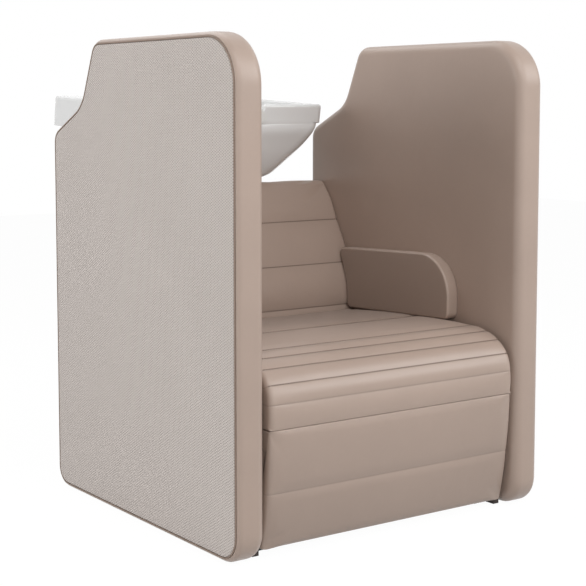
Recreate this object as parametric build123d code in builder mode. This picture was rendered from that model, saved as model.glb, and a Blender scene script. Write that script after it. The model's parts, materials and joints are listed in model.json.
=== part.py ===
from build123d import *
import os
from math import cos, radians, sin, tan

# A salon hair washing bed: two tall upholstered side panels, a seat and backrest between
# them, and a ceramic basin that tilts on a steel column behind the backrest.
# Sizes are in millimetres. X runs across, Y runs from the front to the back, Z is up.
# The origin is at the middle of the footprint, on the floor.
# "Depth" is the distance behind the front edges of the side panels.

os.makedirs("parts", exist_ok=True)

# Overall sizes
overall_width = 930.0
panel_depth = 900.0
basin_overhang = 340.0
panel_height = 1200.0
panel_thickness = 80.0
glide_height = 4.0
overall_depth = panel_depth + basin_overhang
front_y = -overall_depth / 2
half_width = overall_width / 2
inner_half_width = half_width - panel_thickness

# Clearances and common joinery
soft_gap = 0.5
loose_gap = 0.3
running_gap = 0.05
board = 18.0
thin_board = 12.0

# Bolts: an M8 for the carcass and a smaller screw for rails
bolt_radius = 4.0
bolt_hole_radius = 4.5
bolt_head_radius = 7.5
bolt_head_height = 6.0
screw_radius = 3.0
screw_hole_radius = 3.3
screw_head_radius = 6.0
screw_head_height = 3.5

# Side panel; the shares place the bolts along the panel and up the seat box
bolt_depth_shares = (0.16, 0.34, 0.52, 0.7)
bolt_height_shares = (0.3, 0.75)
armrest_bolt_shares = (0.36, 0.6)
panel_front_bottom_radius = 70.0
panel_rear_bottom_radius = 55.0
panel_front_top_radius = 120.0
shoulder_height = 963.7
shoulder_radius = 45.0
dip_depth = 738.7
dip_height = 1038.9
dip_radius = 100.0
crest_depth = 666.9
crest_radius = 45.0
panel_inner_edge_radius = 26.0
panel_outer_edge_radius = 18.0
panel_inner_skin = 22.0
pad_inset = 18.0
piping_radius = 3.0
piping_proud = 2.0
pad_edge_radius = 9.0

# Glides under the side panels
glide_radius = 14.0
glide_depth_shares = (0.14, 0.5, 0.86)

# Seat, apron, backrest and armrests
seat_depth = 663.0
seat_height = 465.0
seat_base_height = 345.0
cushion_side_gap = 12.0
cushion_half_width = inner_half_width - cushion_side_gap
front_board_depth = 60.0
apron_top_height = 305.0
apron_bottom_height = 32.0
backrest_base_height = seat_base_height
backrest_top_height = 812.0
backrest_side_gap = 2.0
backrest_half_width = inner_half_width - backrest_side_gap
backrest_rear_depth = 846.0
rest_board_foot_depth = 700.0
rest_board_head_depth = 832.0
rest_board_head_height = 794.0
armrest_thickness = 40.0
armrest_front_depth = 222.5
armrest_rise = 175.0
armrest_fall = 20.0
armrest_front_height = seat_height + armrest_rise
armrest_rear_height = armrest_front_height - armrest_fall
armrest_corner_radius = 110.0

# How far each sewn field swells beyond its seams
seat_swell = 3.0
middle_swell = 2.5
small_swell = 2.0
edge_swell = 1.0
lumbar_swell = 12.0
shoulder_swell = 3.5
head_swell = 7.0

# Backrest seams: how far each leans back from the seat's rear and how far it stands above the seat
lumbar_lean = 27.0
lumbar_rise = 115.0
shoulder_lean = 88.5
shoulder_rise = 235.0
head_lean = 150.0
head_rise = 335.0
rest_lean = 166.0
rest_tuck = 5.0
rest_foot_lean = 2.0
rest_chamfer = 6.0

# How far a cover is drawn in at its ends; each pair is a place along the half width or the
# thickness, then the share of the full draw that is reached there
cushion_draw = 12.0
cushion_draw_shares = ((1, 1), (0.99, 13 / 24), (0.972, 1 / 4), (0.93, 1 / 10), (0.6, 1 / 30), (0, 0))
rest_draw = 14.0
rest_draw_shares = ((1, 1), (0.992, 4 / 7), (0.975, 1 / 4), (0.93, 3 / 35), (0.6, 1 / 35), (0, 0))
armrest_draw = 10.0
armrest_draw_shares = ((1, 1), (0.95, 1 / 2), (0.86, 1 / 5), (0.7, 1 / 20), (0.55, 0), (0, 0))

# Carcass under the seat
deck_thickness = 15.0
deck_rear_depth = 715.0
vent_radius = 15.0
vent_pitch = 130.0
vent_columns = 5
vent_rows = 4
screw_bite = 12.0
mid_board_depth = 680.0
rear_post_depth = 850.0
rear_post_size = 34.0
rear_post_width = 30.0
cap_thickness = 15.0
cap_top_height = 793.0
cross_rail_height = 80.0
lower_rail_height = 60.0
upper_rail_height = 600.0

# Steel angles that fasten the seat box to the floor
angle_leg = 40.0
angle_wall = 4.0
angle_front_depth = 90.0
angle_length = 560.0
anchor_hole_radius = 5.5
anchor_spacing_depth = 400.0
anchor_inset = 22.0
angle_screw_shares = (0.1, 0.5, 0.9)
angle_screw_rise_share = 0.6

# Column, its foot and the bracket that carries the basin
column_width = 116.0
column_size = 33.0
column_wall = 3.0
column_top_height = 745.0
foot_width = 240.0
foot_front_depth = 760.0
foot_thickness = 8.0
foot_hole_radius = 6.5
foot_spacing_x = 190.0
foot_spacing_depth = 75.0
bracket_wall = 6.0
bracket_web = 4.0
bracket_low_height = 560.0
bracket_web_top = 680.0
bracket_bolt_shares = (0.3, 0.85)
pivot_overhang = 30.0
pivot_depth = panel_depth + pivot_overhang
pivot_height = 775.0
pin_radius = 8.0
bracket_eye_radius = 20.0
cradle_eye_radius = 17.0
cradle_ear_wall = 5.0
bush_radius = 10.5
bush_flange_radius = 14.0
pin_head_radius = 13.0
pin_head_height = 5.0

# Tilt lock lever
lock_hub_radius = 14.0
lock_hub_length = 22.0
lock_arm_length = 92.0
lock_arm_radius = 5.0
lock_grip_radius = 9.0
lock_rest_angle = 45.0
lock_grip_length = 38.0

# Service panel at the back
service_panel_depth = panel_depth - thin_board
service_panel_gap = 5.0
service_panel_half_width = inner_half_width - service_panel_gap
service_panel_bottom = 20.0
service_notch_half_width = 100.0
service_notch_height = 665.0
service_corner_radius = 12.0
service_edge_radius = 2.0
stud_shank_radius = 3.0
stud_ball_radius = 3.8
stud_reach = 11.0
catch_radius = 7.0
catch_depth = 12.0
catch_lip_radius = 9.0
catch_lip = 1.5
stud_low_height = 130.0
stud_high_height = 640.0

# Basin
basin_tilt = 2.8
basin_front_depth = 710.0
basin_front_height = 1036.0
basin_top_half_width = 304.0
basin_half_width = 306.0
basin_top_reach = 522.0
basin_corner_radius = 30.0
basin_apron = 85.0
basin_front_edge = 50.0
basin_front_undercut = 14.0
basin_slope_run = 250.0
basin_underside = 215.0
basin_deck = 14.0
bowl_floor = 200.0
rim_edge_radius = 8.0
deck_cavity_front = 425.0
deck_cavity_wall = 13.0
# Each row of the bowl: distance below the rim, half width, front reach, rear reach, corner radius
bowl_outside = [
    (45.0, 296.0, 6.0, 430.0, 45.0),
    (85.0, 290.0, 18.0, 425.0, 55.0),
    (112.0, 272.0, 32.0, 420.0, 70.0),
    (165.0, 225.0, 57.0, 405.0, 85.0),
    (200.0, 198.0, 78.0, 380.0, 90.0),
    (basin_underside, 165.0, 120.0, 345.0, 85.0),
]
bowl_inside = [
    (-5.0, 268.0, 26.0, 408.0, 60.0),
    (60.0, 258.0, 34.0, 404.0, 75.0),
    (112.0, 240.0, 48.0, 396.0, 80.0),
    (165.0, 205.0, 72.0, 385.0, 85.0),
    (190.0, 165.0, 105.0, 355.0, 80.0),
    (bowl_floor, 140.0, 130.0, 330.0, 75.0),
]
notch_radius = 118.0
notch_drop = 55.0
notch_edge_radius = 7.0
drain_reach = 270.0
notch_run = 60.0
drain_hole_radius = 22.5
flange_radius = 33.0
flange_thickness = 2.5
flange_recess = 3.0
fitting_setback = 43.0
fitting_reach = deck_cavity_front + fitting_setback

# Cradle plate under the basin
pad_thickness = 4.0
pad_radius = 18.0
cradle_thickness = 5.0
cradle_half_width = 110.0
cradle_front_reach = 140.0
cradle_rear_reach = 345.0
cradle_opening_radius = 44.0
cradle_bolt_x = 85.0
cradle_bolt_front = 165.0
cradle_bolt_rear = 320.0
basin_anchor_depth = 9.0

# Neck rest
neck_rest_thickness = 10.0
neck_rest_flap = 22.0
neck_rest_front = 8.0
neck_rest_rear = 46.0
neck_rest_slot = 40.0
neck_rest_angle = 46
neck_rest_clearance = 0.4

# Waste fitting, strainer and trap
waste_bore_radius = 16.0
waste_tube_radius = 20.0
waste_tube_length = 62.0
waste_nut_radius = 31.0
waste_nut_height = 11.0
strainer_radius = 23.0
strainer_dish_radius = 24.0
strainer_thickness = 1.4
strainer_cup_radius = 14.5
strainer_cup_depth = 9.0
strainer_hole_radius = 2.2
strainer_holes = 8
strainer_knob_radius = 4.5
strainer_knob_height = 9.0
service_depth = 770.0
trap_x = 60.0
trap_radius = 33.0
trap_bottom_height = 170.0
trap_body_height = 90.0
trap_inlet_height = 75.0
trap_outlet_share = 0.65
trap_socket_length = 22.0
trap_ring_height = 10.0
pipe_radius = 20.0
pipe_wall = 2.5
pipe_x = 160.0
pipe_foot_height = 30.0
pipe_spigot_length = 60.0
pipe_bend_radius = 30.0
clip_height = 120.0
clip_stem = 10.0
clip_width = 16.0
clip_wall = 3.0

# Stop valves
valve_x = (-190.0, -90.0)
valve_height = 280.0
valve_depth = 725.0
valve_boss_radius = 8.0
valve_radius = 12.0
valve_half_length = 34.0
thread_radius = 10.4
thread_length = 16.0
nipple_radius = 7.0
nipple_length = 14.0
nipple_wall = 2.1
spindle_radius = 4.0
spindle_length = 18.0
knob_radius = 17.0
knob_length = 20.0
knob_standoff = 8.0
knob_lobes = 6
knob_lobe_radius = 4.0
valve_plate_thickness = 3.0
valve_plate_margin = 30.0

# Mixer and hand shower on the rear deck
mixer_x = -95.0
mixer_radius = 22.0
mixer_base_radius = 27.0
mixer_base_height = 7.0
mixer_body_height = 62.0
deck_shank_radius = 16.0
deck_hole_radius = 16.5
deck_nut_radius = 22.0
deck_nut_height = 9.0
deck_shank_proud = 4.5
mixer_cap_height = 20.0
lever_slot_width = 13.0
lever_width = 12.4
lever_length = 54.0
lever_thickness = 7.0
lever_pin_radius = 3.0
lever_pivot_rise = 12.0
lever_hub_radius = 7.0
lever_trunnion = 4.0
lever_rise_angle = 14.0
spigot_radius = 12.0
spigot_length = 9.0
shower_x = 105.0
collar_flange_radius = 24.0
collar_flange_height = 6.0
collar_bore_radius = 12.4
shower_grip_radius = 12.0
shower_tail_radius = 9.0
shower_shoulder_radius = 15.0
shower_rise = 48.0
shower_drop = 74.0
shower_head_radius = 26.0
shower_head_height = 15.0
shower_head_lean = 50.0
shower_neck_length = 16.0
shower_face_share = 0.8
shower_nose_share = 0.65
shower_neck_share = 0.85


def across(x):
    """Plane of a side profile at x: its first axis is depth, its second is height."""
    return Plane(origin=(x, front_y, 0), x_dir=(0, 1, 0), z_dir=(1, 0, 0))


def level(height):
    """Plane of a plan view at a height, with its origin at the panels' front edge."""
    return Plane(origin=(0, front_y, height), x_dir=(1, 0, 0), z_dir=(0, 0, 1))


def facing_back(depth):
    """Plane square to Y at a depth; x is reversed so that it faces the rear."""
    return Plane(origin=(0, front_y + depth, 0), x_dir=(-1, 0, 0), z_dir=(0, 1, 0))


def save(part, name):
    """Label a finished piece and write its STEP file."""
    part.label = name
    export_step(part, f"parts/{name}.step")


def mirrored(part):
    """The same piece on the other side of the middle plane."""
    return mirror(part, about=Plane.YZ)


def rounded_path(corners, radii):
    """Draw a closed path of straight sides whose corners are rounded to the radii."""
    rounds = []
    for i, radius in enumerate(radii):
        corner = Vector(*corners[i])
        back = (Vector(*corners[i - 1]) - corner).normalized()
        ahead = (Vector(*corners[(i + 1) % len(corners)]) - corner).normalized()
        half_angle = radians(back.get_angle(ahead)) / 2
        reach = radius / tan(half_angle)
        middle = corner + (back + ahead).normalized() * (radius / sin(half_angle) - radius)
        rounds.append((corner + back * reach, middle, corner + ahead * reach))
    for i, (start, middle, end) in enumerate(rounds):
        ThreePointArc(start, middle, end)
        Line(end, rounds[(i + 1) % len(rounds)][0])


def outline_edges(corners, bulges, pulls, draw):
    """Points of a padded profile whose shown corners are drawn in by draw.

    corners run anticlockwise, bulges give how far each side swells beyond its chord,
    and pulls say which corners are drawn in (1) or stay on what they rest on (0).
    """
    count = len(corners)
    sides = [Vector(*corners[(i + 1) % count]) - Vector(*corners[i]) for i in range(count)]
    normals = [Vector(side.Y, -side.X).normalized() for side in sides]
    points = []
    for i in range(count):
        inward = (normals[i] + normals[i - 1]).normalized() * (-draw * pulls[i])
        points.append(Vector(*corners[i]) + inward)
    edges = []
    for i in range(count):
        start = points[i]
        end = points[(i + 1) % count]
        edges.append((start, (start + end) / 2 + normals[i] * bulges[i], end, bulges[i]))
    return edges


def padded_form(corners, bulges, pulls, stations):
    """A cushion lofted along X; each station is (x, how far the cover is drawn in there)."""
    with BuildPart() as form:
        for x, draw in stations:
            with BuildSketch(across(x)):
                with BuildLine():
                    for start, middle, end, bulge in outline_edges(corners, bulges, pulls, draw):
                        if bulge:
                            ThreePointArc(start, middle, end)
                        else:
                            Line(start, end)
                make_face()
        loft(ruled=True)
    return form


def fastener(plane, shank_radius, shank_length, head_radius, head_height):
    """One screw or bolt: its head stands on the plane and its shank goes the other way."""
    with BuildPart() as bolt:
        with BuildSketch(plane):
            Circle(head_radius)
        extrude(amount=head_height)
        with BuildSketch(plane):
            Circle(shank_radius)
        extrude(amount=-shank_length)
        with BuildSketch(plane.offset(head_height)):
            RegularPolygon(radius=shank_radius, side_count=6)
        extrude(amount=-head_height / 2, mode=Mode.SUBTRACT)
    return bolt.part


def group(pieces):
    """Separate solids that share one node."""
    return Compound(children=list(pieces))


# Side panels
panel_corners = [
    (0, glide_height),
    (panel_depth, glide_height),
    (panel_depth, shoulder_height),
    (dip_depth, dip_height),
    (crest_depth, panel_height),
    (0, panel_height),
]
panel_radii = [
    panel_front_bottom_radius,
    panel_rear_bottom_radius,
    shoulder_radius,
    dip_radius,
    crest_radius,
    panel_front_top_radius,
]
rim_x = half_width - piping_proud
pocket_x = inner_half_width + panel_inner_skin
carcass_bolt_depths = [panel_depth * share for share in bolt_depth_shares]
carcass_bolt_heights = [seat_base_height * share for share in bolt_height_shares]
armrest_bolt_depths = [panel_depth * share for share in armrest_bolt_shares]
armrest_bolt_height = seat_height + (armrest_front_height - seat_height) / 2


def panel_outline(plane, inset):
    """Sketch of the side panel's outline, drawn in by inset all round."""
    with BuildSketch(plane) as outline:
        with BuildLine():
            rounded_path(panel_corners, panel_radii)
        make_face()
        if inset:
            offset(amount=-inset)
    return outline.sketch


def bolt_places():
    """Depth and height of each bolt that goes through the inner face of a side panel."""
    carcass = [(depth, height) for depth in carcass_bolt_depths for height in carcass_bolt_heights]
    return carcass + [(depth, armrest_bolt_height) for depth in armrest_bolt_depths]


def bolt_holes(x, radius):
    """Sketch of the holes for those bolts at x."""
    with BuildSketch(across(x)) as holes:
        with Locations(*bolt_places()):
            Circle(radius)
    return holes.sketch


with BuildPart() as panel_cover:
    extrude(panel_outline(across(inner_half_width), 0), amount=rim_x - inner_half_width)
    fillet(panel_cover.faces().sort_by(Axis.X)[0].edges(), panel_inner_edge_radius)
    fillet(panel_cover.faces().sort_by(Axis.X)[-1].edges(), panel_outer_edge_radius)
    pocket = panel_outline(across(pocket_x), pad_inset)
    extrude(pocket, amount=half_width - pocket_x, mode=Mode.SUBTRACT)
    skin_holes = bolt_holes(inner_half_width, bolt_hole_radius)
    extrude(skin_holes, amount=panel_inner_skin, mode=Mode.SUBTRACT)

with BuildPart() as panel_board:
    extrude(panel_outline(across(pocket_x), pad_inset + loose_gap), amount=board)
    extrude(bolt_holes(pocket_x, bolt_hole_radius), amount=board, mode=Mode.SUBTRACT)
    with BuildSketch(across(pocket_x + board)):
        with Locations(*[(depth, armrest_bolt_height) for depth in armrest_bolt_depths]):
            Circle(bolt_head_radius + soft_gap)
    extrude(amount=-bolt_head_height - loose_gap, mode=Mode.SUBTRACT)

pad_x = pocket_x + board
with BuildPart() as fabric_pad:
    pad_outline = panel_outline(across(pad_x), pad_inset + piping_radius * 2 + loose_gap)
    extrude(pad_outline, amount=half_width - piping_proud / 2 - pad_x)
    fillet(fabric_pad.faces().sort_by(Axis.X)[-1].edges(), pad_edge_radius)

piping_x = half_width - piping_radius
with BuildPart() as piping:
    rope_path = panel_outline(across(piping_x), pad_inset + piping_radius + loose_gap / 2).wire()
    start_plane = Plane(origin=rope_path @ 0, z_dir=rope_path % 0)
    with BuildSketch(start_plane):
        Circle(piping_radius)
    sweep(path=rope_path)

save(mirrored(panel_cover.part), "left_panel_cover")
save(panel_cover.part, "right_panel_cover")
save(mirrored(panel_board.part), "left_panel_board")
save(panel_board.part, "right_panel_board")
save(mirrored(fabric_pad.part), "left_panel_fabric")
save(fabric_pad.part, "right_panel_fabric")
save(mirrored(piping.part), "left_panel_piping")
save(piping.part, "right_panel_piping")

# Glides under the panels
glide_x = inner_half_width + (panel_thickness + panel_inner_edge_radius - panel_outer_edge_radius) / 2
glides = []
for share in glide_depth_shares:
    with BuildPart() as glide:
        with BuildSketch(level(0)):
            with Locations((glide_x, panel_depth * share)):
                Circle(glide_radius)
        extrude(amount=glide_height)
        chamfer(glide.edges().group_by(Axis.Z)[0], glide_height / 4)
    glides.append(glide.part)
    glides.append(mirrored(glide.part))
save(group(glides), "panel_glides")

# Seat cushion: the sewn seams divide the front roll and the top
seat_seam_shares = [
    (0.006, 0.656),
    (0.004, 0.781),
    (0.024, 0.875),
    (0.073, 0.941),
    (0.133, 0.978),
    (0.212, 0.996),
    (0.545, 0.991),
    (0.982, 0.958),
]
seat_bulges = [
    small_swell, seat_swell, seat_swell, middle_swell, small_swell, seat_swell, seat_swell
]
seat_seams = [(seat_depth * a, seat_height * b) for a, b in seat_seam_shares]
seat_rear_drop = 12.0
seat_rear_top = seat_seams[-1][1] - seat_rear_drop
seat_corners = [
    (front_board_depth, apron_top_height),
    (front_board_depth, seat_base_height),
    (seat_depth, seat_base_height),
    (seat_depth, seat_rear_top),
]
seat_corners = seat_corners + seat_seams[::-1]
seat_side_bulges = [0, 0, 0, seat_swell] + seat_bulges[::-1] + [0]
seat_pulls = [0, 0, 0, 1] + [1] * len(seat_seams)


def both_sides(half, draw, shares):
    """Stations from one side to the other, drawn in by draw at the two ends."""
    right = [(half * place, draw * share) for place, share in shares]
    left = [(-x, reached) for x, reached in right if x]
    return left + right[::-1]


cushion_stations = both_sides(cushion_half_width, cushion_draw, cushion_draw_shares)
seat_cushion = padded_form(seat_corners, seat_side_bulges, seat_pulls, cushion_stations)
save(seat_cushion.part, "seat_cushion")

# Apron cushion: two sewn panels in front of the seat box
apron_seam_shares = (0.024, 0.333)
apron_foot_share = 0.058
apron_seams = [
    (seat_seams[0][0], apron_top_height),
    (seat_depth * apron_seam_shares[0], seat_height * apron_seam_shares[1]),
    (seat_depth * apron_foot_share, apron_bottom_height),
]
apron_corners = [
    (front_board_depth, apron_bottom_height),
    (front_board_depth, apron_top_height),
] + apron_seams
apron_bulges = [0, 0, seat_swell, seat_swell, small_swell]
apron_pulls = [0, 0, 0, 1, 1]
apron_cushion = padded_form(apron_corners, apron_bulges, apron_pulls, cushion_stations)
save(apron_cushion.part, "apron_cushion")

# Backrest cushion: upright below with a swell for the small of the back, leaning above
rest_front_bulges = [head_swell, shoulder_swell, lumbar_swell, 0]
rest_front = [
    (seat_depth, backrest_base_height),
    (seat_depth + rest_foot_lean, seat_height - rest_tuck),
    (seat_depth + lumbar_lean, seat_height + lumbar_rise),
    (seat_depth + shoulder_lean, seat_height + shoulder_rise),
    (seat_depth + head_lean, seat_height + head_rise),
]
rest_top_front = (seat_depth + rest_lean, backrest_top_height)
rest_corners = [
    (rest_board_foot_depth, backrest_base_height),
    (rest_board_head_depth, rest_board_head_height),
    (backrest_rear_depth, rest_board_head_height),
    (backrest_rear_depth, backrest_top_height - rest_chamfer),
    (backrest_rear_depth - rest_chamfer, backrest_top_height),
    rest_top_front,
] + rest_front[::-1]
rest_bulges = [0, 0, 0, edge_swell, 0, small_swell] + rest_front_bulges + [0]
rest_pulls = [0, 0, 0, 0.3, 0.5, 0.6, 1, 1, 1, 1, 0]
rest_stations = both_sides(backrest_half_width, rest_draw, rest_draw_shares)
backrest_cushion = padded_form(rest_corners, rest_bulges, rest_pulls, rest_stations)
save(backrest_cushion.part, "backrest_cushion")

with BuildPart() as backrest_board:
    with BuildSketch(across(-backrest_half_width)):
        with BuildLine():
            Polyline(
                (rest_board_foot_depth, backrest_base_height),
                (rest_board_foot_depth + thin_board, backrest_base_height),
                (rest_board_head_depth + thin_board, rest_board_head_height),
                (rest_board_head_depth, rest_board_head_height),
                close=True,
            )
        make_face()
    extrude(amount=backrest_half_width * 2)
save(backrest_board.part, "backrest_board")

# Armrests, bolted to the inner faces of the side panels
rest_gap = soft_gap * 2
seat_line_gap = seat_swell + soft_gap * 4
rear_share = (armrest_rear_height - rest_front[2][1]) / (rest_front[3][1] - rest_front[2][1])
armrest_rear_depth = rest_front[2][0] + (rest_front[3][0] - rest_front[2][0]) * rear_share
armrest_corners = [
    (armrest_front_depth, seat_seams[-2][1] + seat_line_gap + soft_gap * 2),
    (seat_seams[-2][0], seat_seams[-2][1] + seat_line_gap),
    (seat_depth - rest_gap, seat_seams[-1][1] + seat_line_gap),
    (rest_front[1][0] - rest_gap, rest_front[1][1]),
    (rest_front[2][0] - rest_gap, rest_front[2][1]),
    (armrest_rear_depth - shoulder_swell - rest_gap, armrest_rear_height),
    (armrest_front_depth + armrest_corner_radius, armrest_front_height),
    (armrest_front_depth, armrest_front_height - armrest_corner_radius),
]
armrest_swell = armrest_corner_radius * (1 - cos(radians(45)))
armrest_bulges = [0, 0, 0, -lumbar_swell, 0, small_swell, armrest_swell, 0]
armrest_pulls = [1, 0, 0, 0, 0, 1, 1, 1]
armrest_stations = [
    (inner_half_width - armrest_thickness * place, armrest_draw * share)
    for place, share in armrest_draw_shares
]
with BuildPart() as right_armrest:
    add(padded_form(armrest_corners, armrest_bulges, armrest_pulls, armrest_stations).part)
    nut_holes = bolt_holes(inner_half_width, bolt_hole_radius)
    extrude(nut_holes, amount=-armrest_thickness / 2, mode=Mode.SUBTRACT)
save(mirrored(right_armrest.part), "left_armrest")
save(right_armrest.part, "right_armrest")


def plank(x_range, depth_range, height_range):
    """A square-edged board between two x, two depths and two heights."""
    with BuildPart() as piece:
        with BuildSketch(level(height_range[0])):
            with Locations((sum(x_range) / 2, sum(depth_range) / 2)):
                Rectangle(x_range[1] - x_range[0], depth_range[1] - depth_range[0])
        extrude(amount=height_range[1] - height_range[0])
    return piece.part


# Steel angles inside the cheeks, with holes for floor anchors and side screws
cheek_x = inner_half_width - board
deck_bottom = seat_base_height - deck_thickness
angle_screw_height = glide_height + angle_leg * angle_screw_rise_share
angle_screw_places = [
    (angle_front_depth + angle_length * share, angle_screw_height) for share in angle_screw_shares
]
anchor_x = cheek_x - anchor_inset
anchor_middle_depth = angle_front_depth + angle_length / 2
with BuildPart() as right_angle:
    angle_start = (0, front_y + angle_front_depth, 0)
    with BuildSketch(Plane(origin=angle_start, x_dir=(1, 0, 0), z_dir=(0, -1, 0))):
        with BuildLine():
            Polyline(
                (cheek_x - angle_leg, glide_height),
                (cheek_x, glide_height),
                (cheek_x, glide_height + angle_leg),
                (cheek_x - angle_wall, glide_height + angle_leg),
                (cheek_x - angle_wall, glide_height + angle_wall),
                (cheek_x - angle_leg, glide_height + angle_wall),
                close=True,
            )
        make_face()
    extrude(amount=-angle_length)
    with BuildSketch(level(glide_height)):
        with Locations((anchor_x, anchor_middle_depth)):
            with GridLocations(0, anchor_spacing_depth, 1, 2):
                Circle(anchor_hole_radius)
    extrude(amount=angle_wall, mode=Mode.SUBTRACT)
    with BuildSketch(across(cheek_x - angle_wall)):
        with Locations(*angle_screw_places):
            Circle(screw_hole_radius)
    extrude(amount=angle_wall, mode=Mode.SUBTRACT)
save(mirrored(right_angle.part), "left_floor_angle")
save(right_angle.part, "right_floor_angle")

# Seat box
cross_rail_depth = rear_post_depth - board
with BuildPart() as right_cheek:
    cheek_width = (cheek_x, inner_half_width)
    add(plank(cheek_width, (front_board_depth, cross_rail_depth), (glide_height, deck_bottom)))
    extrude(bolt_holes(cheek_x, bolt_hole_radius), amount=board, mode=Mode.SUBTRACT)
    with BuildSketch(across(cheek_x)):
        with Locations(*angle_screw_places):
            Circle(screw_hole_radius)
    extrude(amount=screw_bite + loose_gap, mode=Mode.SUBTRACT)
save(mirrored(right_cheek.part), "left_cheek")
save(right_cheek.part, "right_cheek")

with BuildPart() as seat_deck:
    full_width = (-inner_half_width, inner_half_width)
    add(plank(full_width, (front_board_depth, deck_rear_depth), (deck_bottom, seat_base_height)))
    with BuildSketch(level(deck_bottom)):
        with Locations((0, (front_board_depth + deck_rear_depth) / 2)):
            with GridLocations(vent_pitch, vent_pitch, vent_columns, vent_rows):
                Circle(vent_radius)
    extrude(amount=deck_thickness, mode=Mode.SUBTRACT)
save(seat_deck.part, "seat_deck")

between_cheeks = (-cheek_x, cheek_x)
box_height = (glide_height, deck_bottom)
front_board_reach = (front_board_depth, front_board_depth + board)
save(plank(between_cheeks, front_board_reach, box_height), "front_board")
mid_board_reach = (mid_board_depth, mid_board_depth + board)
save(plank(between_cheeks, mid_board_reach, box_height), "mid_board")

# Cabinet behind the backrest: posts, cap and two cross rails that hold the column
cap_bottom = cap_top_height - cap_thickness
post_rear_depth = rear_post_depth + rear_post_size
post_x = (inner_half_width - rear_post_width, inner_half_width)
catch_x = (post_x[0] + service_panel_half_width) / 2
catch_heights = (stud_low_height, stud_high_height)
with BuildPart() as right_post:
    add(plank(post_x, (rear_post_depth, post_rear_depth), (glide_height, cap_bottom)))
    with BuildSketch(facing_back(post_rear_depth)):
        with Locations(*[(-catch_x, height) for height in catch_heights]):
            Circle(catch_radius)
    extrude(amount=-catch_depth, mode=Mode.SUBTRACT)
save(mirrored(right_post.part), "left_rear_post")
save(right_post.part, "right_rear_post")
save(plank(full_width, (rear_post_depth, post_rear_depth), (cap_bottom, cap_top_height)), "cabinet_cap")

column_bolt_x = column_width / 3
rail_heights = {"lower_cross_rail": lower_rail_height, "upper_cross_rail": upper_rail_height}
for name, height in rail_heights.items():
    with BuildPart() as cross_rail:
        add(plank(full_width, (cross_rail_depth, rear_post_depth), (height, height + cross_rail_height)))
        with BuildSketch(facing_back(cross_rail_depth)):
            with Locations((0, height + cross_rail_height / 2)):
                with GridLocations(column_bolt_x * 2, 0, 2, 1):
                    Circle(bolt_hole_radius)
        extrude(amount=board, mode=Mode.SUBTRACT)
    save(cross_rail.part, name)

# Column with the foot plate welded under it
foot_middle_depth = (foot_front_depth + post_rear_depth) / 2
foot_top = glide_height + foot_thickness
column_middle_depth = rear_post_depth + column_size / 2
bracket_bolt_heights = [bracket_low_height + column_width * share for share in bracket_bolt_shares]
with BuildPart() as support_column:
    with BuildSketch(level(foot_top)):
        with Locations((0, column_middle_depth)):
            RectangleRounded(column_width, column_size, column_wall * 2)
            RectangleRounded(
                column_width - column_wall * 2, column_size - column_wall * 2, column_wall,
                mode=Mode.SUBTRACT,
            )
    extrude(amount=column_top_height - foot_top)
    with BuildSketch(facing_back(rear_post_depth)):
        for height in rail_heights.values():
            with Locations((0, height + cross_rail_height / 2)):
                with GridLocations(column_bolt_x * 2, 0, 2, 1):
                    Circle(bolt_hole_radius)
    extrude(amount=column_wall, mode=Mode.SUBTRACT)
    with BuildSketch(across(-column_width / 2)):
        with Locations(*[(column_middle_depth, height) for height in bracket_bolt_heights]):
            Circle(bolt_hole_radius)
    extrude(amount=column_width, mode=Mode.SUBTRACT)
    with BuildSketch(level(glide_height)):
        with Locations((0, foot_middle_depth)):
            RectangleRounded(foot_width, post_rear_depth - foot_front_depth, foot_thickness)
            with GridLocations(foot_spacing_x, foot_spacing_depth, 2, 2):
                Circle(foot_hole_radius, mode=Mode.SUBTRACT)
    extrude(amount=foot_thickness)
save(support_column.part, "support_column")

# Bracket: two arms joined by a web, bolted to the column, that hold the tilt pin
arm_inner_x = column_width / 2
web_depth = rear_post_depth + column_size
arm_corners = [
    (rear_post_depth, bracket_low_height),
    (web_depth + bracket_web, bracket_low_height),
    (web_depth + bracket_web, bracket_web_top),
    (pivot_depth + bracket_eye_radius * cos(radians(30)), pivot_height - bracket_eye_radius / 2),
    (pivot_depth - bracket_eye_radius / 2, pivot_height + bracket_eye_radius * cos(radians(30))),
    (rear_post_depth, column_top_height),
]
with BuildPart() as basin_bracket:
    for x in (-arm_inner_x - bracket_wall, arm_inner_x):
        with BuildSketch(across(x)):
            with BuildLine():
                Polyline(*arm_corners, close=True)
            make_face()
            with Locations((pivot_depth, pivot_height)):
                Circle(bracket_eye_radius)
                Circle(pin_radius + running_gap, mode=Mode.SUBTRACT)
            with Locations(*[(column_middle_depth, height) for height in bracket_bolt_heights]):
                Circle(bolt_hole_radius, mode=Mode.SUBTRACT)
        extrude(amount=bracket_wall)
    with BuildSketch(across(-arm_inner_x)):
        with BuildLine():
            Polyline(
                (web_depth, bracket_low_height),
                (web_depth + bracket_web, bracket_low_height),
                (web_depth + bracket_web, bracket_web_top),
                (web_depth, bracket_web_top),
                close=True,
            )
        make_face()
    extrude(amount=column_width)
save(basin_bracket.part, "basin_bracket")

# Fasteners, one node for each kind and place
panel_bolts = []
for depth, height in bolt_places():
    if height < deck_bottom:
        start = Plane(origin=(cheek_x, front_y + depth, height), x_dir=(0, 1, 0), z_dir=(-1, 0, 0))
        reach = pocket_x + board - cheek_x
        bolt = fastener(start, bolt_radius, reach, bolt_head_radius, bolt_head_height)
        panel_bolts += [bolt, mirrored(bolt)]
save(group(panel_bolts), "panel_bolts")

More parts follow.
